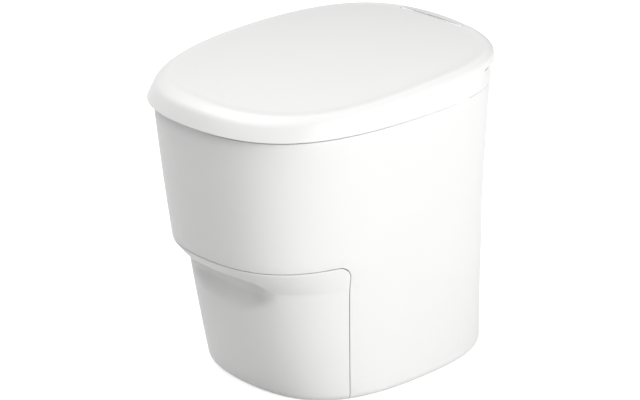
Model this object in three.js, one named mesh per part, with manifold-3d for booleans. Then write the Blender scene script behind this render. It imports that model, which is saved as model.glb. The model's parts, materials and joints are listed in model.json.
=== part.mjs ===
import * as THREE from 'three';
import { mergeVertices } from 'three/addons/utils/BufferGeometryUtils.js';
import Module from 'manifold-3d';

const wasm = await Module();
wasm.setup();

// Overall sizes in millimetres: X across, front towards -Y, Z up
const lidWidth = 382;
const lidDepth = 500;
const bodyRimHeight = 415;
const lidGap = 4;
const seamHeight = 216;
const wall = 3.2;
const fit = 0.3;
const overrun = 40;
const halfWidth = lidWidth / 2;
const halfDepth = lidDepth / 2;

// Plan outline of the body and the lid's skirt, as shares of their width and depth
const skirtShares = {
  wide: 0.47,
  frontAcross: 0.67,
  frontAlong: 0.75,
  rearAcross: 0.775,
  rearAlong: 0.77,
};
const topShares = { wide: 0.47, frontAcross: 0.66, frontAlong: 0.68, rearAcross: 0.81, rearAlong: 0.8 };
const boxShares = { wide: 0.5, frontAcross: 0.67, frontAlong: 0.75, rearAcross: 0.93, rearAlong: 0.95 };
const ovalShares = { wide: 0.5, frontAcross: 0.6, frontAlong: 0.62, rearAcross: 0.6, rearAlong: 0.62 };
const slotShares = { wide: 0.5, frontAcross: 0.9, frontAlong: 0.9, rearAcross: 0.9, rearAlong: 0.9 };
const outerSteps = 12;
const innerSteps = 8;

// Body walls: insets from the lid's side, front and rear, at the rim, the seam and the foot
const rimSideInset = 8;
const rimFrontInset = 8.5;
const rimRearInset = 5;
const seamSideInset = 26.5;
const seamFrontInset = 29;
const seamRearInset = 4;
const footSideInset = 30;
const footFrontInset = 70;
const footRearInset = 7;
const stepDepth = 26;
const stepTopRise = -3;
const stepDrop = 36;
const footFillet = 13;
const footClearance = 2;
const flangeWidth = 14;
const ledgeWidth = 9;
const ledgeTaper = 5;
const doorSideTopReach = 164;
const doorSideFootReach = 176;
const doorCorner = 22;
const seamGap = 1.2;
const bayCeilingThickness = 2.6;

// Finger scoop under the step of the door
const scoopSideInset = 72.5;
const scoopEndWidth = 29;
const scoopFadeWidth = 72;
const scoopRise = 18.5;
const scoopDepth = 20;
const scoopHeight = 56;

// Lid
const lidTopRise = 57;
const lidRise = 30;
const lidCrown = 16;
const lidSideInset = 8;
const lidFrontInset = 28;
const lidRearInset = 20;
const bevelWidth = 7;
const bevelDrop = 5;
const bevelFrontExtra = 10;
const bevelRearExtra = 3;
const lidCutReach = 138;
const lidCutRun = 45;
const lidCutEnd = 13;
const lidLinerThickness = 2.4;
const lidLinerGap = 0.6;
const lidLinerInset = 7;
const lidLinerRear = 60;

// Hinge
const hingeRearInset = 26.5;
const hingeBarRadius = 13;
const hingeBarHalf = 61.5;
const hingeBarSink = 0.5;
const hingePinRadius = 3;
const hingePinOverhang = 1;
const hingeGap = 1.5;
const knuckleRadius = 5.6;
const lugWidth = 14;
const sweepRadius = 26;
const supportFront = 14;
const supportRear = 6;
const boreGap = 0.4;

// Rear console
const consoleDeckDrop = 21.4;
const consoleDepth = 140;
const consoleRun = 30;
const consoleFlare = 1;
const consoleRearDrop = 22;
const consoleWall = 3.5;

// Seat
const seatLift = 6.8;
const seatLidDrop = 11.56;
const seatCrest = 3;
const seatSideInset = 18;
const seatFrontInset = 24;
const seatRearInset = 136;
const seatSideWidth = 69;
const seatFrontWidth = 61;
const seatRearWidth = 32;
const seatCrestShare = 0.4;
const seatArmWidth = 12;
const seatEdgeRound = 5;
const seatBufferRadius = 8;
const seatBufferSideInset = 21;
const seatBufferEndInset = 188;
const lidBufferRadius = 7;
const lidBufferSideInset = 121;
const lidBufferFrontInset = 72;
const lidBufferClear = 1;

// Top frame and liner cassette
const frameThickness = 8;
const frameWellMargin = 3;
const frameWellWall = 3;
const frameLedgeWidth = 8;
const frameLedgeThickness = 3;
const cassetteMargin = 28;
const cassetteHeight = 28;
const cassetteWall = 1.6;
const cassetteSlot = 4;
const coverThickness = 1.8;
const filmThickness = 0.8;
const filmTopRise = 0.4;
const filmRollGap = 1;
const filmHang = 3;
const filmClear = 2;
const filmGather = 16;
const pleatCount = 3;
const pleatDepth = 2;

// Bowl and film
const funnelWall = 2;
const funnelTopMargin = 25;
const funnelOutletMargin = 4;
const funnelOutletGap = 8.7;
const funnelWaistShare = 0.55;
const funnelWaistSideInset = 4;
const funnelWaistRearInset = 6;
const bowlInset = 4;

// Sealing jaws
const jawDrop = 2;
const jawHeight = 26;
const jawDepth = 20;
const jawHalfOpening = 46.7;
const padThickness = 3;
const heaterThickness = 2.6;
const padEndInset = 42;
const padHeight = 14;
const plateRackGap = 25;
const plateSideGap = 6;
const plateThickness = 4;
const plateFrontMargin = 1.3;
const plateRearMargin = 2;
const plateTopRise = 6;
const plateWaistDrop = 14;
const plateLegFront = 14;
const plateLegRearInset = 12;
const rodInset = 12;
const rodRadius = 5;
const bushRadius = 8;
const bushLength = 22;
const rearBeamDepth = 14;
const rearBeamGap = 29.3;
const earThickness = 4.5;
const fixedEarInset = 26;
const movingEarInset = 6.5;
const movingJawGap = 1;
const earDrop = 46;
const movingEarDrop = 30;
const earReach = 3;

// Rack drive
const rackModule = 1.5;
const pinionTeeth = 12;
const rackWidth = 6.5;
const rackInset = 3.3;
const rackLength = 116;
const rackBack = 9;
const jawShaftReach = 25.3;
const jawShaftRadius = 4;
const gearModule = 1;
const shaftGearTeeth = 30;
const smallGearTeeth = 12;
const gearWidth = 6;
const shaftGearInset = 16.5;
const meshGap = 0.1;
const tipShare = 0.22;
const rootShare = 0.56;
const addendumShare = 0.9;
const dedendumShare = 1.2;
const motorRadius = 13;
const motorLength = 62;
const motorShaftRadius = 2.5;
const motorNeck = 2;

// Film rollers
const rollerRadius = 9;
const rollerDrop = 18;
const journalRadius = 3;
const driveGearTeeth = 24;
const driveGearGap = 1;
const feedMotorRadius = 8.5;
const feedMotorLength = 46;

// Door, tray and bin
const trayBottom = 25;
const trayThickness = 3;
const traySideInset = 25;
const trayRearInset = 126;
const binWall = 2.2;
const binTopDrop = 53.7;
const binSideInset = 6;
const binFrontInset = 100;
const binRearInset = 8;
const binDraft = 9;
const binRim = 5;
const railSideInset = 38;
const railWidth = 5;
const railFrontInset = 150;
const railRearInset = 62;
const runnerWidth = 12;
const runnerEndMargin = 4;
const runnerHeight = 12;
const runnerFloor = 2.2;

// Base plate and feet
const basePlateBottom = 5.5;
const basePlateThickness = 4;
const basePlateInset = 22;
const basePlateFrontInset = 138;
const footRadius = 12;
const footFrontSideInset = 87;
const footFrontEndInset = 162;
const footRearSideInset = 93;
const footRearEndInset = 84;

// Button, board and inlet
const buttonSideInset = 78;
const buttonRearInset = 84;
const buttonRadius = 10;
const buttonRise = 2;
const buttonThickness = 7;
const buttonStemRadius = 4;
const buttonTravel = 2.5;
const buttonGap = 0.5;
const switchSize = 18;
const boardHalfWidth = 60;
const boardRearInset = 50;
const boardDrop = 159;
const boardHeight = 86;
const boardThickness = 1.6;
const bracketThickness = 2;
const inletX = -40;
const inletZ = 110;
const inletRadius = 9;
const inletFlangeRadius = 13;
const inletLength = 20;
const inletBore = 4;
const inletBoreDepth = 14;
const inletStandoff = 0.9;

const lidRimHeight = bodyRimHeight + lidGap;
const lidTopHeight = lidRimHeight + lidTopRise;
// Widths and places that follow from the sizes above
const rimHalfWidth = halfWidth - rimSideInset;
const seamHalfWidth = halfWidth - seamSideInset;
const footHalfWidth = halfWidth - footSideInset;
const scoopHalfWidth = seamHalfWidth - scoopSideInset;
const doorSideTopY = -halfDepth + doorSideTopReach;
const doorSideFootY = -halfDepth + doorSideFootReach;
const lidCutFront = halfDepth - lidCutReach;
const consoleFront = halfDepth - consoleDepth;
const seatHalfWidth = halfWidth - seatSideInset;
const seatRear = halfDepth - seatRearInset;
const holeHalfWidth = seatHalfWidth - seatSideWidth;
const holeFront = -halfDepth + seatFrontInset + seatFrontWidth;
const holeRear = seatRear - seatRearWidth;
const seatBufferX = seatHalfWidth - seatBufferSideInset;
const seatBufferY = halfDepth - seatBufferEndInset;
const lidBufferX = halfWidth - lidBufferSideInset;
const lidBufferY = -halfDepth + lidBufferFrontInset;
const jawBottom = seamHeight - jawDrop;
const jawTop = jawBottom + jawHeight;
const rackFront = jawHalfOpening + rackInset;
const rackEnd = rackFront + rackLength;
const rearBeamFront = jawHalfOpening + jawDepth + rearBeamGap;
const plateFront = -jawHalfOpening - jawDepth - plateFrontMargin;
const plateRear = rearBeamFront + rearBeamDepth + plateRearMargin;
const plateLegRear = plateRear - plateLegRearInset;
const plateX = halfWidthAt(bodyPlan(jawBottom), plateRear) - wall - plateSideGap - plateThickness;
const rackX = plateX - plateRackGap;
const padHalfLength = plateX - padEndInset;
const rodX = plateX - rodInset;
const fixedEarX = plateX - fixedEarInset;
const movingEarX = fixedEarX - movingEarInset;
const earBottom = jawBottom - earDrop;
const movingEarBottom = jawBottom - movingEarDrop;
const jawShaftY = jawHalfOpening + jawShaftReach;
const shaftGearX = plateX - shaftGearInset;
const rollerZ = jawBottom - rollerDrop;
const driveGearX = fixedEarX + earThickness + driveGearGap;
const funnelOutletHalfX = padHalfLength + funnelOutletMargin;
const funnelOutletHalfY = jawHalfOpening - funnelOutletGap;
const funnelWaistHalfX = holeHalfWidth - funnelWaistSideInset;
const funnelWaistHalfY = holeRear - funnelWaistRearInset;
const trayHalfWidth = footHalfWidth - traySideInset;
const trayRear = halfDepth - trayRearInset;
const binHalfWidth = trayHalfWidth - binSideInset;
const binFront = -halfDepth + binFrontInset;
const binRear = trayRear - binRearInset;
const railX = trayHalfWidth - railSideInset;
const railFront = -halfDepth + railFrontInset;
const railRear = halfDepth - railRearInset;
const runnerFront = railFront - runnerEndMargin;
const runnerRear = railRear + runnerEndMargin;
const basePlateFront = -halfDepth + basePlateFrontInset;
const footFrontX = footHalfWidth - footFrontSideInset;
const footFrontY = -halfDepth + footFrontEndInset;
const footRearX = footHalfWidth - footRearSideInset;
const footRearY = halfDepth - footRearEndInset;
const buttonX = rimHalfWidth - buttonSideInset;
const buttonY = halfDepth - buttonRearInset;
const boardY = halfDepth - boardRearInset;
const boardBottom = bodyRimHeight - boardDrop;

function toSolid(geometry) {
  const bare = new THREE.BufferGeometry();
  bare.setAttribute('position', geometry.getAttribute('position'));
  if (geometry.index) {
    bare.setIndex(geometry.index);
  }
  const merged = mergeVertices(bare);
  const vertProperties = new Float32Array(merged.getAttribute('position').array);
  const triVerts = new Uint32Array(merged.index.array);
  return new wasm.Manifold(new wasm.Mesh({ numProp: 3, vertProperties, triVerts }));
}

function toGeometry(solid) {
  const mesh = solid.getMesh();
  const geometry = new THREE.BufferGeometry();
  geometry.setAttribute('position', new THREE.BufferAttribute(new Float32Array(mesh.vertProperties), 3));
  geometry.setIndex(new THREE.BufferAttribute(new Uint32Array(mesh.triVerts), 1));
  geometry.computeVertexNormals();
  return geometry;
}

function join(first, ...others) {
  return others.reduce((sum, other) => sum.add(other), first);
}

function cut(first, ...tools) {
  return tools.reduce((rest, tool) => rest.subtract(tool), first);
}

function block([x0, x1], [y0, y1], [z0, z1]) {
  const geometry = new THREE.BoxGeometry(x1 - x0, y1 - y0, z1 - z0);
  geometry.translate((x0 + x1) / 2, (y0 + y1) / 2, (z0 + z1) / 2);
  return toSolid(geometry);
}

function barX(radius, [x0, x1], y, z, sides = 20) {
  const geometry = new THREE.CylinderGeometry(radius, radius, x1 - x0, sides);
  geometry.rotateZ(-Math.PI / 2);
  geometry.translate((x0 + x1) / 2, y, z);
  return toSolid(geometry);
}

function barY(radius, x, [y0, y1], z, sides = 20) {
  const geometry = new THREE.CylinderGeometry(radius, radius, y1 - y0, sides);
  geometry.translate(x, (y0 + y1) / 2, z);
  return toSolid(geometry);
}

function barZ(radius, x, y, [z0, z1], sides = 24) {
  const geometry = new THREE.CylinderGeometry(radius, radius, z1 - z0, sides);
  geometry.rotateX(Math.PI / 2);
  geometry.translate(x, y, (z0 + z1) / 2);
  return toSolid(geometry);
}

// A YZ outline drawn out along X
function prismX(points, [x0, x1]) {
  const shape = new THREE.Shape(points.map(([y, z]) => new THREE.Vector2(y, z)));
  const geometry = new THREE.ExtrudeGeometry(shape, { depth: x1 - x0, bevelEnabled: false });
  const turn = new THREE.Matrix4().makeBasis(
    new THREE.Vector3(0, 1, 0),
    new THREE.Vector3(0, 0, 1),
    new THREE.Vector3(1, 0, 0),
  );
  geometry.applyMatrix4(turn);
  geometry.translate(x0, 0, 0);
  return toSolid(geometry);
}

// Closed plan outline of four cubic curves, counter-clockwise from the front centre
function planOutline({ halfWidth, front, rear, shares }) {
  const steps = shares === skirtShares || shares === topShares ? outerSteps : innerSteps;
  const wide = front + (rear - front) * shares.wide;
  const frontCurve = new THREE.CubicBezierCurve(
    new THREE.Vector2(0, front),
    new THREE.Vector2(halfWidth * shares.frontAcross, front),
    new THREE.Vector2(halfWidth, wide + (front - wide) * shares.frontAlong),
    new THREE.Vector2(halfWidth, wide),
  );
  const rearCurve = new THREE.CubicBezierCurve(
    new THREE.Vector2(halfWidth, wide),
    new THREE.Vector2(halfWidth, wide + (rear - wide) * shares.rearAlong),
    new THREE.Vector2(halfWidth * shares.rearAcross, rear),
    new THREE.Vector2(0, rear),
  );
  const half = [...frontCurve.getPoints(steps), ...rearCurve.getPoints(steps).slice(1)];
  const mirrored = half.slice(1, -1).reverse().map((p) => new THREE.Vector2(-p.x, p.y));
  return [...half, ...mirrored];
}

// Half width of a plan's rear part at a place along it
function halfWidthAt(plan, y) {
  const points = planOutline(plan);
  const after = points.findIndex((p) => p.x > 0 && p.y > y);
  const [near, far] = [points[after - 1], points[after]];
  return near.x + (far.x - near.x) * ((y - near.y) / (far.y - near.y));
}

function ring(plan, height) {
  const z = typeof height === 'function' ? height : () => height;
  return planOutline(plan).map((p) => new THREE.Vector3(p.x, p.y, z(p.x, p.y)));
}

function inset(plan, distance) {
  return {
    ...plan,
    halfWidth: plan.halfWidth - distance,
    front: plan.front + distance,
    rear: plan.rear - distance,
  };
}

// Skin through a list of rings: closed on itself like a tube wall, or capped at both ends
function loft(rings, closed = true) {
  const count = rings[0].length;
  const points = rings.flat();
  const faces = [];
  const bands = closed ? rings.length : rings.length - 1;
  for (let band = 0; band < bands; band += 1) {
    const low = band * count;
    const high = ((band + 1) % rings.length) * count;
    for (let k = 0; k < count; k += 1) {
      const next = (k + 1) % count;
      faces.push(low + k, low + next, high + next, low + k, high + next, high + k);
    }
  }
  if (!closed) {
    const first = centreOf(rings[0]);
    const last = centreOf(rings[rings.length - 1]);
    points.push(first, last);
    const end = (rings.length - 1) * count;
    for (let k = 0; k < count; k += 1) {
      const next = (k + 1) % count;
      faces.push(points.length - 2, next, k);
      faces.push(points.length - 1, end + k, end + next);
    }
  }
  const geometry = new THREE.BufferGeometry();
  const numbers = points.flatMap((p) => [p.x, p.y, p.z]);
  geometry.setAttribute('position', new THREE.Float32BufferAttribute(numbers, 3));
  geometry.setIndex(faces);
  return toSolid(geometry);
}

function centreOf(points) {
  const rear = points[points.length / 2];
  const middle = points[0].clone().lerp(rear, 0.5);
  middle.z = points.reduce((sum, p) => sum + p.z, 0) / points.length;
  return middle;
}

// Value at a height of the smooth curve through the rim, the seam and the foot
function wallCurve(z, rim, seam, foot) {
  const heights = [bodyRimHeight, seamHeight, footFillet];
  const values = [rim, seam, foot];
  return values.reduce((sum, value, i) => {
    const others = heights.filter((h, j) => j !== i);
    const share = others.reduce((product, h) => product * (z - h) / (heights[i] - h), 1);
    return sum + value * share;
  }, 0);
}

function stepShare(z) {
  return THREE.MathUtils.clamp((seamHeight + stepTopRise - z) / stepDrop, 0, 1);
}

// Outer plan of the body at a height
function bodyPlan(z) {
  const frontInset = wallCurve(z, rimFrontInset, seamFrontInset, footFrontInset);
  return {
    halfWidth: wallCurve(z, rimHalfWidth, seamHalfWidth, footHalfWidth),
    front: -halfDepth + frontInset + stepDepth * stepShare(z),
    rear: halfDepth - wallCurve(z, rimRearInset, seamRearInset, footRearInset),
    shares: skirtShares,
  };
}

function filletInset(z) {
  const drop = Math.max(footFillet - z, 0);
  return footFillet - Math.sqrt(footFillet * footFillet - drop * drop);
}

function footPlan(z) {
  return inset(bodyPlan(z), filletInset(z));
}

const stepTop = seamHeight + stepTopRise;
const creaseHeight = stepTop - stepDrop;
const filletShares = [0.14, 0.34, 0.62];
const filletHeights = filletShares.map((share) => footClearance + (footFillet - footClearance) * share);
const lowerShares = [0.2, 0.45, 0.72];
const lowerHeights = lowerShares.map((share) => footFillet + (creaseHeight - footFillet) * share);
const upperShares = [0.25, 0.5, 0.75];
const upperHeights = upperShares.map((share) => stepTop + (bodyRimHeight - stepTop) * share);
const floorPlan = inset(bodyPlan(footFillet), footFillet);
const flangeTop = footClearance + wall;
const frameTop = bodyRimHeight - fit;
const frameBottom = frameTop - frameThickness;
const ledgeHeight = frameBottom - fit;

function smooth(share) {
  return share * share * (3 - 2 * share);
}

// Share of the scoop at a place across the door, from 0 at its ends to 1 in the middle
function scoopArch(x, endWidth) {
  return smooth(THREE.MathUtils.clamp((scoopHalfWidth - Math.abs(x)) / endWidth, 0, 1));
}

// Body ring whose points in the door's front half may lie at their own heights and depths
function bodyRing(z, offset, rise, depth) {
  const level = ring(inset(footPlan(z), offset), z);
  return level.map((p) => {
    if (p.y > 0 || (rise === 0 && depth === 0)) {
      return p;
    }
    const height = z + rise * scoopArch(p.x, scoopEndWidth);
    const index = level.indexOf(p);
    const moved = ring(inset(footPlan(height), offset), height)[index];
    moved.y += depth * scoopArch(p.x, scoopFadeWidth);
    return moved;
  });
}

function scoopFade(z) {
  return 1 - smooth(THREE.MathUtils.clamp((creaseHeight - z) / scoopHeight, 0, 1));
}

function bodyRings(offset, lift, scooped) {
  const rings = [];
  filletHeights.forEach((z) => rings.push(bodyRing(z, offset, 0, 0)));
  rings.push(bodyRing(footFillet, offset, 0, 0));
  lowerHeights.forEach((z) => rings.push(bodyRing(z, offset, 0, scooped ? scoopDepth * scoopFade(z) : 0)));
  if (scooped) {
    rings.push(bodyRing(creaseHeight + lift, offset, scoopRise, scoopDepth));
  }
  rings.push(bodyRing(creaseHeight + lift, offset, scooped ? scoopRise : 0, 0));
  rings.push(bodyRing(stepTop + lift, offset, 0, 0));
  upperHeights.forEach((z) => rings.push(bodyRing(z, offset, 0, 0)));
  return rings;
}

// Whole wall of the body, from the flange at the floor to the rim
function bodyShellLoft(scooped) {
  const outer = [
    ring(inset(floorPlan, flangeWidth), footClearance),
    ring(floorPlan, footClearance),
    ...bodyRings(0, 0, scooped),
    ring(bodyPlan(bodyRimHeight), bodyRimHeight),
  ];
  const inner = [
    ring(inset(bodyPlan(bodyRimHeight), wall), bodyRimHeight),
    ring(inset(bodyPlan(ledgeHeight), wall), ledgeHeight),
    ring(inset(bodyPlan(ledgeHeight), wall + ledgeWidth), ledgeHeight),
    ring(inset(bodyPlan(ledgeHeight - wall), wall + ledgeWidth), ledgeHeight - wall),
    ring(inset(bodyPlan(ledgeHeight - wall - ledgeTaper), wall), ledgeHeight - wall - ledgeTaper),
    ...bodyRings(wall, wall, scooped).reverse().slice(0, -1),
    ring(inset(footPlan(flangeTop), wall), flangeTop),
    ring(inset(floorPlan, flangeWidth), flangeTop),
  ];
  return loft([...outer, ...inner]);
}

// Side view of the door's outline, with its rounded upper rear corner
function doorOutline(growth) {
  const top = seamHeight + growth;
  const sideTop = doorSideTopY + growth;
  const radius = doorCorner + growth;
  const points = [[-halfDepth - overrun, -overrun], [doorSideFootY + growth, -overrun]];
  const arcSteps = 6;
  for (let step = 0; step <= arcSteps; step += 1) {
    const angle = (Math.PI / 2) * (step / arcSteps);
    points.push([sideTop - radius + radius * Math.cos(angle), top - radius + radius * Math.sin(angle)]);
  }
  points.push([-halfDepth - overrun, top]);
  return points;
}

const acrossAll = [-halfWidth - overrun, halfWidth + overrun];

function bodyShell() {
  const opening = prismX(doorOutline(seamGap / 2), acrossAll);
  const ceilingLow = seamHeight + seamGap;
  const ceilingPlan = inset(bodyPlan(stepTop), wall / 2);
  const ceiling = loft([
    ring(ceilingPlan, ceilingLow),
    ring(ceilingPlan, ceilingLow + bayCeilingThickness),
  ], false);
  const front = block(acrossAll, [-halfDepth, plateFront - seamGap], [0, bodyRimHeight]);
  const rearY = bodyPlan(inletZ).rear;
  const inletHole = barY(inletRadius + 2 * fit, inletX, [rearY - overrun, rearY + overrun], inletZ);
  return cut(join(cut(bodyShellLoft(false), opening), ceiling.intersect(front)), inletHole);
}

function doorFront() {
  return bodyShellLoft(true).intersect(prismX(doorOutline(-seamGap / 2), acrossAll));
}

// Height of the lid's outer top at a place on it
function lidTopZ(x, y) {
  const across = x / halfWidth;
  const along = y / halfDepth;
  return lidTopHeight + (lidRise / 2) * along - lidCrown * (across * across + along * along);
}

const hingeY = halfDepth - hingeRearInset;
const hingeZ = lidTopZ(0, hingeY) - hingeBarRadius - hingeBarSink;
const lidSkirt = { halfWidth, front: -halfDepth, rear: halfDepth, shares: skirtShares };
const lidTopPlan = {
  halfWidth: halfWidth - lidSideInset,
  front: -halfDepth + lidFrontInset,
  rear: halfDepth - lidRearInset,
  shares: topShares,
};
const lidBevelPlan = {
  halfWidth: lidTopPlan.halfWidth + bevelWidth,
  front: lidTopPlan.front - bevelWidth - bevelFrontExtra,
  rear: lidTopPlan.rear + bevelWidth + bevelRearExtra,
  shares: topShares,
};
const crownShares = [0.36, 0.7];

function scaledPlan(plan, share) {
  const middle = (plan.front + plan.rear) / 2;
  return {
    ...plan,
    halfWidth: plan.halfWidth * share,
    front: middle + (plan.front - middle) * share,
    rear: middle + (plan.rear - middle) * share,
  };
}

function lowered(depth) {
  return (x, y) => lidTopZ(x, y) - depth;
}

// Side view of what is cut away under the rear of the lid's skirt
function lidCutOutline() {
  return [
    [lidCutFront, lidRimHeight - overrun],
    [lidCutFront, lidRimHeight],
    [lidCutFront + lidCutRun, hingeZ - lidCutEnd],
    [halfDepth + overrun, hingeZ - lidCutEnd],
    [halfDepth + overrun, lidRimHeight - overrun],
  ];
}

function mirrorX(solid) {
  return solid.mirror([1, 0, 0]);
}

const notchHalf = hingeBarHalf + hingeGap;
const notchFront = hingeY - hingeBarRadius - hingeGap;
const armSpan = [notchHalf, notchHalf + seatArmWidth];
const lugSpan = [armSpan[1] + hingeGap, armSpan[1] + hingeGap + lugWidth];
const pinHalf = lugSpan[1] + hingePinOverhang;

// The lid's outside as a full body, at an inset
function lidBlank(offset) {
  return loft([
    ring(inset(lidSkirt, offset), lidRimHeight),
    ring(inset(lidBevelPlan, offset), lowered(bevelDrop + offset)),
    ring(inset(lidTopPlan, offset), lowered(offset)),
    ...[...crownShares].reverse().map((share) => ring(scaledPlan(lidTopPlan, share), lowered(offset))),
  ], false);
}

function lidShell() {
  const shell = loft([
    ...[...crownShares].map((share) => ring(scaledPlan(lidTopPlan, share), lowered(wall))),
    ring(inset(lidTopPlan, wall), lowered(wall)),
    ring(inset(lidBevelPlan, wall), lowered(bevelDrop + wall)),
    ring(inset(lidSkirt, wall), lidRimHeight),
    ring(lidSkirt, lidRimHeight),
    ring(lidBevelPlan, lowered(bevelDrop)),
    ring(lidTopPlan, lowered(0)),
    ...[...crownShares].reverse().map((share) => ring(scaledPlan(lidTopPlan, share), lowered(0))),
  ], false);
  const under = prismX(lidCutOutline(), acrossAll);
  const notch = block(
    [-notchHalf, notchHalf],
    [notchFront, halfDepth + overrun],
    [0, lidTopHeight + overrun],
  );
  const ceiling = lidTopZ(lugSpan[1], hingeY + knuckleRadius) - wall / 2;
  const post = block(lugSpan, [hingeY - knuckleRadius, hingeY + knuckleRadius], [hingeZ, ceiling]);
  const boreEnd = pinHalf + hingeGap;
  const bore = barX(hingePinRadius + boreGap, [-boreEnd, boreEnd], hingeY, hingeZ);
  const lug = join(barX(knuckleRadius, lugSpan, hingeY, hingeZ), post).intersect(lidBlank(wall / 2));
  const armRoom = barX(knuckleRadius + hingeGap, [-lugSpan[0], lugSpan[0]], hingeY, hingeZ);
  return cut(join(cut(shell, under, notch), lug, mirrorX(lug)), bore, armRoom);
}

function lidLiner() {
  const plan = inset(lidTopPlan, lidLinerInset);
  const top = wall + lidLinerGap;
  const bottom = top + lidLinerThickness;
  const panel = loft([
    ...[...crownShares].map((share) => ring(scaledPlan(plan, share), lowered(bottom))),
    ring(plan, lowered(bottom)),
    ring(plan, lowered(top)),
    ...[...crownShares].reverse().map((share) => ring(scaledPlan(plan, share), lowered(top))),
  ], false);
  return cut(panel, block(acrossAll, [hingeY - lidLinerRear, halfDepth], [0, lidTopHeight + overrun]));
}

const seatBottom = bodyRimHeight + seatLift;
const seatPlan = {
  halfWidth: seatHalfWidth,
  front: -halfDepth + seatFrontInset,
  rear: seatRear,
  shares: boxShares,
};
const seatTop = lidTopZ(0, seatPlan.front) - seatLidDrop;
const holePlan = { halfWidth: holeHalfWidth, front: holeFront, rear: holeRear, shares: ovalShares };

function between(outer, inner, share, z) {
  const outerRing = ring(outer, z);
  const innerRing = ring(inner, z);
  return outerRing.map((p, k) => p.clone().lerp(innerRing[k], share));
}

function seatRing() {
  const body = loft([
    between(seatPlan, holePlan, 0, seatBottom),
    between(seatPlan, holePlan, 0, seatTop - seatEdgeRound),
    between(inset(seatPlan, seatEdgeRound), holePlan, 0, seatTop),
    between(seatPlan, holePlan, seatCrestShare, seatTop + seatCrest),
    between(seatPlan, inset(holePlan, -seatEdgeRound), 1, seatTop),
    between(seatPlan, holePlan, 1, seatTop - seatEdgeRound),
    between(seatPlan, holePlan, 1, seatBottom),
  ]);
  const deckTop = consoleTop + hingeGap;
  const arm = cut(join(
    prismX([
      [seatRear - seatArmWidth, seatBottom + hingeGap],
      [seatRear, seatBottom + hingeGap],
      [consoleFront + consoleRun, deckTop],
      [hingeY, hingeZ - knuckleRadius],
      [hingeY, hingeZ + knuckleRadius],
      [consoleFront + consoleRun, deckTop + seatArmWidth],
      [seatRear - seatArmWidth, seatTop - hingeGap],
    ], armSpan),
    barX(knuckleRadius, armSpan, hingeY, hingeZ),
  ), barX(hingePinRadius + boreGap, acrossAll, hingeY, hingeZ));
  return join(body, arm, mirrorX(arm));
}

const consoleBottom = bodyRimHeight + fit;
const consoleTop = hingeZ - consoleDeckDrop;

function rearConsole() {
  const low = bodyPlan(bodyRimHeight);
  const high = { ...low, halfWidth: low.halfWidth + consoleFlare };
  const housing = loft([ring(low, consoleBottom), ring(high, consoleTop)], false);
  const inner = inset(low, consoleWall);
  const frontPocket = loft([ring(inner, 0), ring(inner, consoleTop - consoleWall)], false);
  const rearPocket = loft([ring(inner, 0), ring(inner, hingeZ - sweepRadius - consoleWall)], false);
  const rampFoot = consoleFront + consoleWall;
  const pocketFront = consoleFront + consoleRun;
  const sweepFront = hingeY - sweepRadius - consoleWall;
  const above = prismX([
    [-halfDepth, 0],
    [rampFoot, 0],
    [rampFoot, consoleBottom + consoleWall],
    [pocketFront, consoleTop],
    [pocketFront, consoleTop + overrun],
    [-halfDepth, consoleTop + overrun],
  ], acrossAll);
  const sweep = barX(sweepRadius, acrossAll, hingeY, hingeZ, 32);
  const rearDrop = block(acrossAll, [hingeY, halfDepth], [hingeZ - consoleRearDrop, hingeZ + overrun]);
  const hollow = cut(
    cut(housing, above),
    frontPocket.intersect(block(acrossAll, [pocketFront, sweepFront], [0, consoleTop])),
    rearPocket.intersect(block(acrossAll, [sweepFront - consoleWall, halfDepth], [0, consoleTop])),
    sweep,
    rearDrop,
  );
  const barSpan = [-hingeBarHalf, hingeBarHalf];
  const support = block(
    barSpan,
    [hingeY - supportFront, hingeY + supportRear],
    [hingeZ - sweepRadius - consoleWall / 2, hingeZ],
  );
  const bar = barX(hingeBarRadius, barSpan, hingeY, hingeZ, 32);
  const bore = barX(hingePinRadius + boreGap, acrossAll, hingeY, hingeZ);
  const holeSpan = [consoleTop - overrun / 2, consoleTop + overrun];
  const buttonHole = barZ(buttonRadius + buttonGap, buttonX, buttonY, holeSpan);
  return cut(join(hollow, support, bar), bore, buttonHole);
}

const cassettePlan = inset(holePlan, -cassetteMargin);
const wellPlan = inset(cassettePlan, -fit);
const wellFloor = frameTop - frameWellMargin - cassetteHeight;

function topFrame() {
  const edge = inset(bodyPlan(ledgeHeight), wall + 2 * fit);
  const plate = loft([ring(edge, frameBottom), ring(edge, frameTop)], false);
  const opening = loft([ring(wellPlan, frameBottom - overrun), ring(wellPlan, frameTop + overrun)], false);
  const outer = inset(wellPlan, -frameWellWall);
  const ledge = inset(wellPlan, frameLedgeWidth);
  const well = loft([
    ring(outer, wellFloor - frameLedgeThickness),
    ring(outer, frameTop),
    ring(wellPlan, frameTop),
    ring(wellPlan, wellFloor),
    ring(ledge, wellFloor),
    ring(ledge, wellFloor - frameLedgeThickness),
  ]);
  return join(cut(plate, opening), well);
}

const cassetteBottom = wellFloor + fit;
const cassetteTop = cassetteBottom + cassetteHeight - coverThickness - fit;

function cassetteBody() {
  return loft([
    ring(cassettePlan, cassetteBottom),
    ring(cassettePlan, cassetteTop),
    ring(inset(cassettePlan, cassetteWall), cassetteTop),
    ring(inset(cassettePlan, cassetteWall), cassetteBottom + cassetteWall),
    ring(inset(holePlan, -cassetteWall), cassetteBottom + cassetteWall),
    ring(inset(holePlan, -cassetteWall), cassetteTop - cassetteSlot),
    ring(holePlan, cassetteTop - cassetteSlot),
    ring(holePlan, cassetteBottom),
  ]);
}

function cassetteCover() {
  const low = cassetteTop + fit;
  return loft([
    ring(cassettePlan, low),
    ring(cassettePlan, low + coverThickness),
    ring(inset(holePlan, -cassetteSlot), low + coverThickness),
    ring(inset(holePlan, -cassetteSlot), low),
  ]);
}

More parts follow.
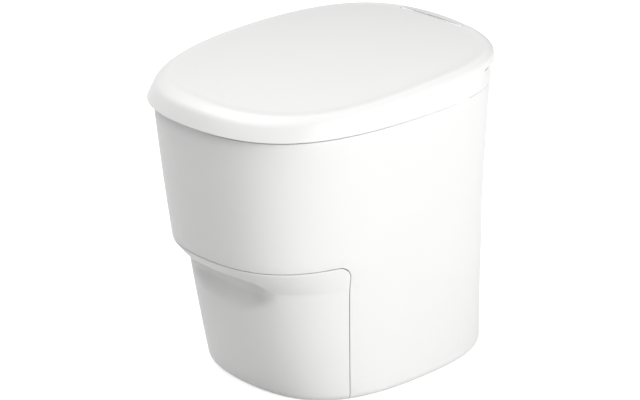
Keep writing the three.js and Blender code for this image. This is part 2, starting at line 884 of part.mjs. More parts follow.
function filmPack() {
  const low = cassetteBottom + cassetteWall + fit;
  const high = cassetteTop - fit;
  const innerOffset = -cassetteWall - cassetteSlot - filmRollGap;
  const rings = [];
  for (let pleat = 0; pleat <= 2 * pleatCount; pleat += 1) {
    const z = low + (high - low) * (pleat / (2 * pleatCount));
    rings.push(ring(inset(cassettePlan, cassetteWall + filmRollGap + (pleat % 2) * pleatDepth), z));
  }
  for (let pleat = 2 * pleatCount; pleat >= 0; pleat -= 1) {
    const z = low + (high - low) * (pleat / (2 * pleatCount));
    rings.push(ring(inset(holePlan, innerOffset - (pleat % 2) * pleatDepth), z));
  }
  return loft(rings);
}

function centredPlan(halfX, halfY, shares) {
  return { halfWidth: halfX, front: -halfY, rear: halfY, shares };
}

const funnelTop = wellFloor - frameLedgeThickness - fit;
const funnelBottom = jawTop + plateTopRise;
const funnelWaist = funnelBottom + (funnelTop - funnelBottom) * funnelWaistShare;
const bowlPlans = [
  [funnelTop, inset(holePlan, bowlInset)],
  [funnelWaist, centredPlan(funnelWaistHalfX, funnelWaistHalfY, ovalShares)],
  [funnelBottom, centredPlan(funnelOutletHalfX, funnelOutletHalfY, slotShares)],
];

function bowlFunnel() {
  const outer = [...bowlPlans].reverse().map(([z, plan]) => ring(inset(plan, -funnelWall), z));
  const inner = bowlPlans.map(([z, plan]) => ring(plan, z));
  outer[outer.length - 1] = ring(inset(bowlPlans[0][1], -funnelWall), funnelTop - funnelWall);
  return loft([
    ...outer,
    ring(inset(holePlan, -funnelTopMargin), funnelTop - funnelWall),
    ring(inset(holePlan, -funnelTopMargin), funnelTop),
    ...inner,
  ]);
}

function filmLiner() {
  const clear = fit + filmThickness;
  const lip = cassetteTop - cassetteSlot + filmTopRise;
  const bagHalfX = funnelOutletHalfX - funnelWall;
  const bag = [
    [funnelBottom + fit, centredPlan(bagHalfX, 2 * filmThickness, slotShares)],
    [funnelBottom + filmGather, centredPlan(bagHalfX, funnelOutletHalfY / 2, slotShares)],
    [funnelWaist, inset(bowlPlans[1][1], filmHang)],
    [funnelTop, inset(bowlPlans[0][1], filmClear)],
    [lip - filmTopRise, inset(holePlan, clear)],
    [lip, inset(holePlan, 0)],
  ];
  const outer = bag.map(([z, plan]) => ring(plan, z));
  const over = [
    ring(inset(holePlan, -cassetteWall - 2 * filmThickness), lip),
    ring(inset(holePlan, -cassetteWall - 2 * filmThickness), lip + filmThickness),
  ];
  const inner = [...bag].reverse().map(([z, plan]) => ring(inset(plan, filmThickness), z + filmThickness));
  return loft([...outer, ...over, ...inner], false);
}

function gearOutline(teeth, module) {
  const pitchRadius = (teeth * module) / 2;
  const tip = pitchRadius + module * addendumShare;
  const root = pitchRadius - module * dedendumShare;
  const pitchAngle = (2 * Math.PI) / teeth;
  const points = [];
  for (let tooth = 0; tooth < teeth; tooth += 1) {
    const middle = tooth * pitchAngle;
    [[root, -rootShare], [tip, -tipShare], [tip, tipShare], [root, rootShare]].forEach(([radius, share]) => {
      const angle = middle + (share * pitchAngle) / 2;
      points.push([radius * Math.cos(angle), radius * Math.sin(angle)]);
    });
  }
  return points;
}

// Gear with its axis along X; its first tooth points along the given angle in the YZ plane
function gearX(teeth, module, [x0, x1], y, z, phase) {
  const turned = gearOutline(teeth, module).map(([a, b]) => [
    y + a * Math.cos(phase) - b * Math.sin(phase),
    z + a * Math.sin(phase) + b * Math.cos(phase),
  ]);
  return prismX(turned, [x0, x1]);
}

const plateInner = plateX;
const plateOuter = plateX + plateThickness;
const baseTop = basePlateBottom + basePlateThickness;
const rodZ = (jawBottom + jawTop) / 2;
const pinionRadius = (pinionTeeth * rackModule) / 2;
const rackPitchZ = jawBottom - fit - rackBack - rackModule;
const jawShaftZ = rackPitchZ - pinionRadius - meshGap;
const motorY = jawShaftY + ((shaftGearTeeth + smallGearTeeth) * gearModule) / 2 + meshGap;
const padFace = -jawHalfOpening + fit + padThickness;
const driveY = padFace - rollerRadius;
const pinchY = jawHalfOpening - fit - heaterThickness + rollerRadius;
const railBottom = baseTop + runnerFloor + 3 * fit;
const feedZ = rollerZ - ((driveGearTeeth + smallGearTeeth) * gearModule) / 2 - meshGap;
const crossSpan = [-plateInner + fit, plateInner - fit];

function sidePlate() {
  const top = jawTop + plateTopRise;
  const waist = jawBottom - plateWaistDrop;
  const plate = prismX([
    [plateFront, waist],
    [plateLegFront, waist],
    [plateLegFront, baseTop + fit],
    [plateLegRear, baseTop + fit],
    [plateRear, waist],
    [plateRear, top],
    [plateFront, top],
  ], [plateInner, plateOuter]);
  const foot = block(
    [plateInner - overrun / 2, plateOuter],
    [plateLegFront, plateLegRear],
    [baseTop + fit, baseTop + fit + plateThickness],
  );
  const shaftBore = barX(jawShaftRadius + boreGap, acrossAll, jawShaftY, jawShaftZ);
  return cut(join(plate, foot), shaftBore);
}

function fixedJaw() {
  const front = -jawHalfOpening - jawDepth;
  const beam = block(crossSpan, [front, -jawHalfOpening], [jawBottom, jawTop]);
  const ear = block(
    [fixedEarX, fixedEarX + earThickness],
    [front, -jawHalfOpening + earReach],
    [earBottom, jawBottom + fit],
  );
  const journal = barX(journalRadius + boreGap, acrossAll, driveY, rollerZ);
  const motorBore = barX(motorShaftRadius + boreGap, acrossAll, driveY, feedZ);
  const sockets = [-rodX, rodX].map((x) => barY(rodRadius + fit, x, [front + jawDepth / 4, overrun], rodZ));
  return cut(join(beam, ear, mirrorX(ear)), journal, motorBore, ...sockets);
}

function movingJaw() {
  const rear = jawHalfOpening + jawDepth;
  const beamSpan = crossSpan.map((x) => x - movingJawGap * Math.sign(x));
  const beam = block(beamSpan, [jawHalfOpening, rear], [jawBottom, jawTop]);
  const ear = block(
    [movingEarX, movingEarX + earThickness - seamGap],
    [jawHalfOpening - earReach, rear - earReach],
    [movingEarBottom, jawBottom + fit],
  );
  const journal = barX(journalRadius + boreGap, acrossAll, pinchY, rollerZ);
  const bores = [-rodX, rodX].map((x) => barY(bushRadius + fit, x, [0, halfDepth], rodZ));
  return cut(join(beam, ear, mirrorX(ear)), journal, ...bores);
}

function rodBush(x) {
  const middle = jawHalfOpening + jawDepth / 2;
  const span = [middle - bushLength / 2, middle + bushLength / 2];
  return cut(barY(bushRadius, x, span, rodZ), barY(rodRadius + fit, x, [0, halfDepth], rodZ));
}

function rearBeam() {
  const depthSpan = [rearBeamFront, rearBeamFront + rearBeamDepth];
  const beam = block(crossSpan, depthSpan, [jawBottom, jawTop]);
  const holes = [-rodX, rodX].map((x) => barY(rodRadius + fit, x, [0, halfDepth], rodZ));
  const saddle = block(motorSpan, depthSpan, [jawShaftZ + motorRadius / 2, jawBottom + fit]);
  return cut(join(beam, saddle), ...holes, barX(motorRadius + fit, acrossAll, motorY, jawShaftZ, 28));
}

const motorSpan = [rackX - motorNeck - motorLength, rackX - motorNeck];

function jawMotor() {
  const can = barX(motorRadius, motorSpan, motorY, jawShaftZ, 28);
  return join(can, barX(motorRadius / 2, [motorSpan[0] - motorNeck, motorSpan[0]], motorY, jawShaftZ, 28));
}

function motorPinion() {
  const span = [shaftGearX, shaftGearX + gearWidth];
  const shaft = barX(motorShaftRadius, [motorSpan[1] + fit, span[1]], motorY, jawShaftZ);
  const phase = Math.PI + Math.PI / smallGearTeeth;
  return join(gearX(smallGearTeeth, gearModule, span, motorY, jawShaftZ, phase), shaft);
}

function jawShaft() {
  const half = plateOuter + hingeGap;
  const shaft = barX(jawShaftRadius, [-half, half], jawShaftY, jawShaftZ);
  const pinionSpan = [rackX, rackX + rackWidth];
  const pinion = gearX(pinionTeeth, rackModule, pinionSpan, jawShaftY, jawShaftZ, Math.PI / 2);
  return join(shaft, pinion, mirrorX(pinion));
}

function shaftGear() {
  const gearSpan = [shaftGearX, shaftGearX + gearWidth];
  const gear = gearX(shaftGearTeeth, gearModule, gearSpan, jawShaftY, jawShaftZ, 0);
  return cut(gear, barX(jawShaftRadius + fit, acrossAll, jawShaftY, jawShaftZ));
}

// Rack with its teeth down; a tooth space lies over the shaft at rest
function jawRack() {
  const pitch = Math.PI * rackModule;
  const tip = rackPitchZ - rackModule * addendumShare;
  const root = rackPitchZ + rackModule * dedendumShare;
  const top = jawBottom - fit;
  const points = [[rackEnd, root], [rackEnd, top], [rackFront, top], [rackFront, root]];
  const first = Math.ceil((rackFront + pitch - jawShaftY) / pitch);
  const last = Math.floor((rackEnd - pitch - jawShaftY) / pitch);
  for (let tooth = first; tooth <= last; tooth += 1) {
    const middle = jawShaftY + (2 * tooth - 1) * (pitch / 2);
    points.push([middle - (rootShare * pitch) / 2, root]);
    points.push([middle - (tipShare * pitch) / 2, tip]);
    points.push([middle + (tipShare * pitch) / 2, tip]);
    points.push([middle + (rootShare * pitch) / 2, root]);
  }
  return prismX(points.reverse(), [rackX, rackX + rackWidth]);
}

function driveRoller() {
  const body = barX(rollerRadius, [-fixedEarX + fit, fixedEarX - fit], driveY, rollerZ, 28);
  const journalEnd = driveGearX + gearWidth;
  return join(body, barX(journalRadius, [-fixedEarX - earThickness, journalEnd], driveY, rollerZ));
}

function driveGear() {
  const span = [driveGearX, driveGearX + gearWidth];
  const gear = gearX(driveGearTeeth, gearModule, span, driveY, rollerZ, -Math.PI / 2);
  return cut(gear, barX(journalRadius + fit, acrossAll, driveY, rollerZ));
}

function feedPinion() {
  const span = [driveGearX, driveGearX + gearWidth];
  const phase = Math.PI / 2 + Math.PI / smallGearTeeth;
  const shaft = barX(motorShaftRadius, [fixedEarX, span[1]], driveY, feedZ);
  return join(gearX(smallGearTeeth, gearModule, span, driveY, feedZ, phase), shaft);
}

function feedMotor() {
  const face = fixedEarX - fit;
  return barX(feedMotorRadius, [face - feedMotorLength, face], driveY, feedZ, 24);
}

function pinchRoller() {
  const body = barX(rollerRadius, [-movingEarX + fit, movingEarX - fit], pinchY, rollerZ, 28);
  const half = movingEarX + earThickness - seamGap;
  return join(body, barX(journalRadius, [-half, half], pinchY, rollerZ));
}

const padSpan = [-padHalfLength, padHalfLength];
const padHeights = [rodZ - padHeight / 2, rodZ + padHeight / 2];

const trayPlan = inset(footPlan(trayBottom), wall + fit);
const binTop = seamHeight - binTopDrop;
const binPlan = { halfWidth: binHalfWidth, front: binFront, rear: binRear, shares: boxShares };

function drawerTray() {
  const floor = loft([ring(trayPlan, trayBottom), ring(trayPlan, trayBottom + trayThickness)], false);
  return floor.intersect(block([-trayHalfWidth, trayHalfWidth], [-halfDepth, trayRear], [0, binTop]));
}

function wasteBin() {
  const low = trayBottom + trayThickness + fit;
  return loft([
    ring(inset(binPlan, binDraft), low),
    ring(binPlan, binTop - binWall),
    ring(inset(binPlan, -binRim), binTop - binWall),
    ring(inset(binPlan, -binRim), binTop),
    ring(inset(binPlan, binWall), binTop),
    ring(inset(binPlan, binDraft + binWall), low + binWall),
  ], false);
}

function drawerRunner(x) {
  const body = block(
    [x - runnerWidth / 2, x + runnerWidth / 2],
    [runnerFront, runnerRear],
    [baseTop + fit, baseTop + fit + runnerHeight],
  );
  const channel = block(
    [x - railWidth / 2 - boreGap, x + railWidth / 2 + boreGap],
    [runnerFront - overrun, runnerRear + overrun],
    [baseTop + fit + runnerFloor, trayBottom],
  );
  return cut(body, channel);
}

function drawerRail(x) {
  const half = railWidth / 2;
  return block([x - half, x + half], [railFront, railRear], [railBottom, trayBottom - fit]);
}

function basePlate() {
  const plan = inset(bodyPlan(footFillet), basePlateInset);
  const plate = loft([ring(plan, basePlateBottom), ring(plan, baseTop)], false);
  return plate.intersect(block(acrossAll, [basePlateFront, halfDepth], [0, bodyRimHeight]));
}

function startButton() {
  const top = consoleTop + buttonRise;
  const cap = barZ(buttonRadius, buttonX, buttonY, [top - buttonThickness, top]);
  const stemLow = consoleBottom + buttonThickness + buttonTravel;
  return join(cap, barZ(buttonStemRadius, buttonX, buttonY, [stemLow, top - buttonThickness]));
}

function buttonSwitch() {
  const half = switchSize / 2;
  return block(
    [buttonX - half, buttonX + half],
    [buttonY - half, buttonY + half],
    [frameTop + fit, consoleBottom + buttonThickness - fit],
  );
}

function controlBoard() {
  return block(
    [-boardHalfWidth, boardHalfWidth],
    [boardY, boardY + boardThickness],
    [boardBottom, boardBottom + boardHeight],
  );
}

function boardBracket() {
  const back = boardY + boardThickness + fit;
  const top = frameBottom - fit;
  const upright = block(
    [-boardHalfWidth, boardHalfWidth],
    [back, back + bracketThickness],
    [boardBottom, top],
  );
  const shelf = block(
    [-boardHalfWidth, boardHalfWidth],
    [back - overrun / 2, back + bracketThickness],
    [top - bracketThickness, top],
  );
  return join(upright, shelf);
}

function powerInlet() {
  const face = bodyPlan(inletZ).rear + inletStandoff;
  const flange = barY(inletFlangeRadius, inletX, [face, halfDepth], inletZ, 24);
  const barrel = barY(inletRadius, inletX, [face - inletLength, face], inletZ, 24);
  const socket = barY(inletBore, inletX, [halfDepth - inletBoreDepth, halfDepth + overrun], inletZ, 16);
  return cut(join(flange, barrel), socket);
}

const whitePlastic = new THREE.MeshStandardMaterial({ color: 0xf4f4f2, roughness: 0.32, metalness: 0 });
const seatPlastic = new THREE.MeshStandardMaterial({ color: 0xefefec, roughness: 0.36, metalness: 0 });
const greyPlastic = new THREE.MeshStandardMaterial({ color: 0x8c9095, roughness: 0.5, metalness: 0 });
const darkPlastic = new THREE.MeshStandardMaterial({ color: 0x2c2e31, roughness: 0.55, metalness: 0 });
const steel = new THREE.MeshStandardMaterial({ color: 0xb9bcc0, roughness: 0.35, metalness: 1 });
const rubber = new THREE.MeshStandardMaterial({ color: 0x1e1f21, roughness: 0.8, metalness: 0 });
const silicone = new THREE.MeshStandardMaterial({ color: 0xb5512f, roughness: 0.7, metalness: 0 });
const film = new THREE.MeshStandardMaterial({ color: 0xe9ecee, roughness: 0.25, metalness: 0 });
const boardGreen = new THREE.MeshStandardMaterial({ color: 0x1f5a38, roughness: 0.6, metalness: 0 });

const toilet = new THREE.Group();
const fixedGroup = new THREE.Group();
const lidGroup = new THREE.Group();
const seatGroup = new THREE.Group();
const drawerGroup = new THREE.Group();
const carriageGroup = new THREE.Group();
toilet.add(fixedGroup, lidGroup, seatGroup, drawerGroup, carriageGroup);

function add(parent, name, solid, material, place = [0, 0, 0]) {
  const mesh = new THREE.Mesh(toGeometry(solid), material);
  mesh.name = name;
  mesh.position.set(...place);
  parent.add(mesh);
}

add(fixedGroup, 'body_shell', bodyShell(), whitePlastic);
add(fixedGroup, 'base_plate', basePlate(), greyPlastic);
const footSolid = barZ(footRadius, 0, 0, [0, basePlateBottom - fit]);
add(fixedGroup, 'foot_front_left', footSolid, rubber, [-footFrontX, footFrontY, 0]);
add(fixedGroup, 'foot_front_right', footSolid, rubber, [footFrontX, footFrontY, 0]);
add(fixedGroup, 'foot_rear_left', footSolid, rubber, [-footRearX, footRearY, 0]);
add(fixedGroup, 'foot_rear_right', footSolid, rubber, [footRearX, footRearY, 0]);
add(fixedGroup, 'top_frame', topFrame(), whitePlastic);
add(fixedGroup, 'rear_console', rearConsole(), whitePlastic);
add(fixedGroup, 'hinge_pin', barX(hingePinRadius, [-pinHalf, pinHalf], hingeY, hingeZ), steel);
add(fixedGroup, 'cassette_body', cassetteBody(), seatPlastic);
add(fixedGroup, 'cassette_cover', cassetteCover(), greyPlastic);
add(fixedGroup, 'film_pack', filmPack(), film);
add(fixedGroup, 'film_liner', filmLiner(), film);
add(fixedGroup, 'bowl_funnel', bowlFunnel(), seatPlastic);
add(fixedGroup, 'side_plate_left', mirrorX(sidePlate()), steel);
add(fixedGroup, 'side_plate_right', sidePlate(), steel);
add(fixedGroup, 'fixed_jaw', fixedJaw(), greyPlastic);
add(
  fixedGroup,
  'sealing_pad',
  block(padSpan, [-jawHalfOpening + fit, padFace], padHeights),
  silicone,
);
const rodSpan = [-jawHalfOpening - jawDepth / 2, rearBeamFront + rearBeamDepth];
add(fixedGroup, 'guide_rod_left', barY(rodRadius, 0, rodSpan, rodZ), steel, [-rodX, 0, 0]);
add(fixedGroup, 'guide_rod_right', barY(rodRadius, 0, rodSpan, rodZ), steel, [rodX, 0, 0]);
add(fixedGroup, 'rear_beam', rearBeam(), greyPlastic);
add(fixedGroup, 'jaw_motor', jawMotor(), steel);
add(fixedGroup, 'feed_motor', feedMotor(), steel);
add(fixedGroup, 'control_board', controlBoard(), boardGreen);
add(fixedGroup, 'board_bracket', boardBracket(), steel);
add(fixedGroup, 'power_inlet', powerInlet(), darkPlastic);
add(fixedGroup, 'button_switch', buttonSwitch(), darkPlastic);
add(fixedGroup, 'drawer_runner_left', drawerRunner(-railX), steel);
add(fixedGroup, 'drawer_runner_right', drawerRunner(railX), steel);

add(lidGroup, 'lid_shell', lidShell(), whitePlastic);
add(lidGroup, 'lid_liner', lidLiner(), whitePlastic);
const linerTop = lidTopZ(lidBufferX, lidBufferY - lidBufferRadius) - wall - lidLinerGap;
const linerBottom = linerTop - lidLinerThickness;
const lidBuffer = barZ(lidBufferRadius, 0, 0, [seatTop + seatCrest + fit, linerBottom - lidBufferClear]);
add(lidGroup, 'lid_buffer_left', lidBuffer, rubber, [-lidBufferX, lidBufferY, 0]);
add(lidGroup, 'lid_buffer_right', lidBuffer, rubber, [lidBufferX, lidBufferY, 0]);

add(seatGroup, 'seat_ring', seatRing(), seatPlastic);
const seatBuffer = barZ(seatBufferRadius, 0, 0, [frameTop + fit, seatBottom - fit]);
add(seatGroup, 'seat_buffer_front_left', seatBuffer, rubber, [-seatBufferX, -seatBufferY, 0]);
add(seatGroup, 'seat_buffer_front_right', seatBuffer, rubber, [seatBufferX, -seatBufferY, 0]);
add(seatGroup, 'seat_buffer_rear_left', seatBuffer, rubber, [-seatBufferX, seatBufferY, 0]);
add(seatGroup, 'seat_buffer_rear_right', seatBuffer, rubber, [seatBufferX, seatBufferY, 0]);

add(fixedGroup, 'start_button', startButton(), greyPlastic);

add(drawerGroup, 'drawer_front', doorFront(), whitePlastic);
add(drawerGroup, 'drawer_tray', drawerTray(), greyPlastic);
add(drawerGroup, 'drawer_rail_left', drawerRail(-railX), steel);
add(drawerGroup, 'drawer_rail_right', drawerRail(railX), steel);
add(drawerGroup, 'waste_bin', wasteBin(), greyPlastic);

add(carriageGroup, 'moving_jaw', movingJaw(), greyPlastic);
add(
  carriageGroup,
  'heater_strip',
  block(padSpan, [jawHalfOpening - fit - heaterThickness, jawHalfOpening - fit], padHeights),
  steel,
);
add(carriageGroup, 'jaw_rack_left', mirrorX(jawRack()), steel);
add(carriageGroup, 'jaw_rack_right', jawRack(), steel);
add(carriageGroup, 'rod_bush_left', rodBush(0), silicone, [-rodX, 0, 0]);
add(carriageGroup, 'rod_bush_right', rodBush(0), silicone, [rodX, 0, 0]);
add(carriageGroup, 'pinch_roller', pinchRoller(), rubber);
add(fixedGroup, 'jaw_shaft', jawShaft(), steel);
add(fixedGroup, 'shaft_gear', shaftGear(), darkPlastic);
add(fixedGroup, 'motor_pinion', motorPinion(), steel);
add(fixedGroup, 'drive_roller', driveRoller(), rubber);
add(fixedGroup, 'drive_gear', driveGear(), darkPlastic);
add(fixedGroup, 'feed_pinion', feedPinion(), steel);

export default toilet;
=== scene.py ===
"""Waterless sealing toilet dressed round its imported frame: mouldings, film liner, finishes and studio."""

import json
import math
from functools import cached_property
from typing import NamedTuple

import bmesh
import bpy
import numpy as np
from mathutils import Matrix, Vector


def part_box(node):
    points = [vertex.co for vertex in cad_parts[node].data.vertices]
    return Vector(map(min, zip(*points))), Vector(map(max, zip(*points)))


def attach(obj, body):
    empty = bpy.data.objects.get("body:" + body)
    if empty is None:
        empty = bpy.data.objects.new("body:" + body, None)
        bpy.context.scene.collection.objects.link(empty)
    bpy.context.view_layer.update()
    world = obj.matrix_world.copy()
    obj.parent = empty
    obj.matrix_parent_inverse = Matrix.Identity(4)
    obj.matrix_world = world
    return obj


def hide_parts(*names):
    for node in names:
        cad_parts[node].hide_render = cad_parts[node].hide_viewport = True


bl_info = {
    "name": "Waterless Toilet",
    "version": (1, 0, 0),
    "blender": (4, 5, 0),
    "location": "View3D > Sidebar > Toilet",
    "description": "Builds the mouldings, liner, finishes and studio of a waterless sealing toilet",
    "category": "Add Mesh",
}

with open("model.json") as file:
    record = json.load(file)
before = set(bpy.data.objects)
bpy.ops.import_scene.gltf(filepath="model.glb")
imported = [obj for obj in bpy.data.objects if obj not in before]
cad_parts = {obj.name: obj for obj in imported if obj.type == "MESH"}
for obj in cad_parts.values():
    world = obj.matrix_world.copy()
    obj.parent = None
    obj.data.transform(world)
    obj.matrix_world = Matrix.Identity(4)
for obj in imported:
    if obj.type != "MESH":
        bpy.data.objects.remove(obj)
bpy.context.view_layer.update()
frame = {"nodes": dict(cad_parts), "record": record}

# Lengths in metres that no property sets; FAR and ACROSS reach out of the part

FAR = 0.6
ACROSS = (-0.3, 0.3)
CLEARANCE = 0.0003
MERGE = 0.00001
GROUND_GAP = 0.002
SOLE_WIDTH = 0.014
SOLE_ROUND = 0.001
BODY_HALVES = (0.183, 0.1645, 0.161)
BODY_FRONTS = (0.0085, 0.029, 0.070)
BODY_REARS = (0.005, 0.004, 0.007)
STEP_GAP = 0.003
DOOR_SIDE, DOOR_FOOT, DOOR_CORNER = -0.086, -0.074, 0.022
SCOOP_HALF, SCOOP_END, LIP_END = 0.092, 0.029, 0.044
TOP_INSETS = (0.008, 0.028, 0.02)
BEVEL_INSETS = (-0.007, -0.017, -0.01)
SHOULDER = 0.005
FIELD_INSET, FIELD_DEPTH = 0.012, 0.0013
BAR_DEPTH = 0.0005
NOTCH_FRONT, NOTCH_GAP, SWING_GAP = 0.009, 0.0015, 0.0024
PIN_BORE, KNUCKLE, KNUCKLE_ROOM = 0.0034, 0.0056, 0.0071
ARM_WIDTH, LUG_WIDTH = 0.012, 0.014
SEAT_HALF, SEAT_FRONT, SEAT_REAR = 0.173, 0.024, 0.114
CONSOLE_DROP = 0.0214
RAMP_FOOT, RAMP_TOP = 0.1135, 0.14
FRAME_HEIGHT, WELL_FLANGE = 0.008, 0.003
CASSETTE_HEIGHT, CASSETTE_WALL, CASSETTE_WIDTH = 0.028, 0.0016, 0.028
COVER_HEIGHT = 0.0018
WAIST_HEIGHT = 0.320
FILM_BOTTOM, BOWL_BOTTOM = 0.2463, 0.246
BUTTON, BUTTON_HOLE = (0.108, 0.166), 0.0105
INLET, INLET_HOLE, INLET_DEPTH = (-0.04, 0.11), 0.0096, 0.05
BIN_BOTTOM, BIN_HEIGHT, BIN_WALL = 0.0283, 0.134, 0.0022

# How many points an outline has, and how far the control points of its four curves reach

AROUND = 160
SKIRT_SHARES = (0.47, 0.67, 0.75, 0.775, 0.77)
TOP_SHARES = (0.47, 0.66, 0.68, 0.81, 0.8)
BOX_SHARES = (0.5, 0.67, 0.75, 0.93, 0.95)
OVAL_SHARES = (0.5, 0.6, 0.62, 0.6, 0.62)
SLOT_SHARES = (0.5, 0.9, 0.9, 0.9, 0.9)
FOOT_SHARES = (0.03, 0.1, 0.22, 0.38, 0.58, 0.8, 1.0)

# Frame nodes that are shown as they are, with their edges rounded

SIDES = ("left", "right")
SOFT_EDGED = {"base_plate", "drawer_tray", "rear_beam", "board_bracket", "control_board", "button_switch"}
SOFT_EDGED |= {"heater_strip", "sealing_pad"}
SOFT_EDGED |= {f"{name}_{side}" for name in ("drawer_rail", "drawer_runner", "side_plate") for side in SIDES}

# The studio: each lamp's place, size and power, and the camera that took the photograph

STUDIO_MIDDLE = (0, 0, 0.25)
LAMPS = {
    "key_lamp": ((3.35, 0.15, 1.15), 2.2, 106.0),
    "top_lamp": ((-1.6, -0.4, 3.2), 1.4, 59.0),
    "front_lamp": ((-0.5, -1.7, 3.2), 1.2, 23.0),
    "fill_lamp": ((-1.4, -3.2, 2.4), 1.6, 17.0),
}
FLOOR_SIZE, FLOOR_TONE, FLOOR_GLOW, WORLD_LIGHT = 24.0, 0.64, 0.7, 0.24
CAMERA_AZIMUTH, CAMERA_ELEVATION, CAMERA_DISTANCE = math.radians(47.6), math.radians(21.4), 4.0
CAMERA_AIM = Vector((-0.0038, 0.0009, 0.2437))
SENSOR, PHOTO_WIDTH, FOCAL_PIXELS = 36.0, 640.0, 2784.0


def length(name, description, default):
    return bpy.props.FloatProperty(
        name=name, description=description, default=default, min=0.0, unit="LENGTH", subtype="DISTANCE"
    )


def colour(name, description, default):
    return bpy.props.FloatVectorProperty(
        name=name, description=description, default=default, size=3, min=0.0, max=1.0, subtype="COLOR"
    )


class ToiletSizes(bpy.types.PropertyGroup):
    """Sizes of the mouldings, in metres."""

    lid_width: length("Lid width", "Width across the lid's skirt", 0.382)
    lid_depth: length("Lid depth", "Depth of the lid's skirt, front to rear", 0.5)
    rim_height: length("Rim height", "Height of the body's upper rim", 0.415)
    lid_gap: length("Lid gap", "Gap between the body's rim and the closed lid", 0.004)
    wall: length("Wall", "Thickness of the body and lid mouldings", 0.0032)
    seam_height: length("Seam height", "Height of the seam over the pull-out front", 0.216)
    seam_gap: length("Seam gap", "Width of the seam round the pull-out front", 0.0012)
    step_depth: length("Step depth", "How far the lower front is set back", 0.026)
    step_drop: length("Step drop", "Height of the sloped band under the seam", 0.036)
    foot_fillet: length("Foot fillet", "Radius at the foot of the body", 0.013)
    scoop_rise: length("Scoop rise", "How far the band's lower edge arches up over the scoop", 0.0185)
    scoop_depth: length("Scoop depth", "Depth of the finger scoop", 0.02)
    lid_height: length("Lid height", "Height of the lid's top at its middle", 0.476)
    lid_crown: length("Lid crown", "How far the lid's top drops from its middle to its edge", 0.016)
    lid_rise: length("Lid rise", "How much higher the lid's rear is than its front", 0.03)
    hinge_rear: length("Hinge set-back", "Distance of the hinge axis from the rear of the lid", 0.0265)
    bar_radius: length("Hinge bar radius", "Radius of the hinge bar", 0.013)
    bar_half: length("Hinge bar half length", "Half the length of the hinge bar", 0.0615)
    seat_lift: length("Seat lift", "Gap between the body's rim and the seat", 0.0068)
    seat_thickness: length("Seat thickness", "Thickness of the seat at its edge", 0.016)
    edge: length("Edge radius", "Rounding on the mouldings' edges", 0.0012)


class ToiletColours(bpy.types.PropertyGroup):
    """Colours of the finishes."""

    white: colour("White moulding", "Body, lid and console", (0.80, 0.80, 0.795))
    seat: colour("Seat moulding", "Seat, cassette and bowl", (0.78, 0.78, 0.765))
    grey: colour("Grey moulding", "Bin, jaws and button", (0.30, 0.31, 0.33))
    dark: colour("Dark moulding", "Gears, switch and inlet", (0.03, 0.031, 0.034))
    steel: colour("Steel", "Rods, plates, runners and motors", (0.62, 0.63, 0.645))
    rubber: colour("Rubber", "Feet, buffers and rollers", (0.022, 0.022, 0.024))
    silicone: colour("Silicone", "Sealing pad and bushes", (0.42, 0.09, 0.04))
    film: colour("Film", "Liner film", (0.80, 0.83, 0.85))
    board: colour("Circuit board", "Control board", (0.016, 0.11, 0.045))


class Plan(NamedTuple):
    """A closed outline seen from above: half width, front and rear, and how its four curves pull."""

    half: float
    front: float
    rear: float
    shares: tuple

    def inset(self, side, front=None, rear=None):
        """The plan drawn in by one distance, or by others at its front and its rear."""
        front = side if front is None else front
        rear = side if rear is None else rear
        return self._replace(half=self.half - side, front=self.front + front, rear=self.rear - rear)

    def scaled(self, share):
        middle = (self.front + self.rear) / 2
        return self._replace(
            half=self.half * share,
            front=middle + (self.front - middle) * share,
            rear=middle + (self.rear - middle) * share,
        )

    def outline(self, count=AROUND):
        """Points of the outline, counter-clockwise from the front centre."""
        wide_at, front_across, front_along, rear_across, rear_along = self.shares
        wide = self.front + (self.rear - self.front) * wide_at
        t = np.linspace(0, 1, count // 4 + 1)[:, None]
        front = curve(
            t,
            (0, self.front),
            (self.half * front_across, self.front),
            (self.half, wide + (self.front - wide) * front_along),
            (self.half, wide),
        )
        rear = curve(
            t,
            (self.half, wide),
            (self.half, wide + (self.rear - wide) * rear_along),
            (self.half * rear_across, self.rear),
            (0, self.rear),
        )
        side = np.vstack([front, rear[1:]])
        other = side[1:-1][::-1] * [-1, 1]
        return np.vstack([side, other])


SEAT_HOLE = Plan(half=0.104, front=-0.165, rear=0.082, shares=OVAL_SHARES)
BIN_PLAN = Plan(half=0.13, front=-0.15, rear=0.116, shares=BOX_SHARES)
BOWL_FOOT = Plan(half=0.108, front=-0.038, rear=0.038, shares=SLOT_SHARES)
BOWL_WAIST = Plan(half=0.100, front=-0.076, rear=0.076, shares=OVAL_SHARES)
FILM_WAIST = Plan(half=0.097, front=-0.073, rear=0.073, shares=OVAL_SHARES)
FILM_THROAT = Plan(half=0.106, front=-0.019, rear=0.019, shares=SLOT_SHARES)
FILM_PINCH = Plan(half=0.106, front=-0.0016, rear=0.0016, shares=SLOT_SHARES)


def curve(t, a, b, c, d):
    a, b, c, d = (np.array(p, float) for p in (a, b, c, d))
    return a * (1 - t) ** 3 + 3 * b * t * (1 - t) ** 2 + 3 * c * t**2 * (1 - t) + d * t**3


def at_height(outline, height):
    """The outline's points at one height, or at a height that depends on their place."""
    z = height(outline[:, 0], outline[:, 1]) if callable(height) else np.full(len(outline), float(height))
    return np.column_stack([outline, z])


def ring(plan, height):
    return at_height(plan.outline(), height)


def stack(*rows):
    """Rings given by their plan and height."""
    return [ring(plan, height) for plan, height in rows]


def smooth(share):
    share = np.clip(share, 0, 1)
    return share * share * (3 - 2 * share)


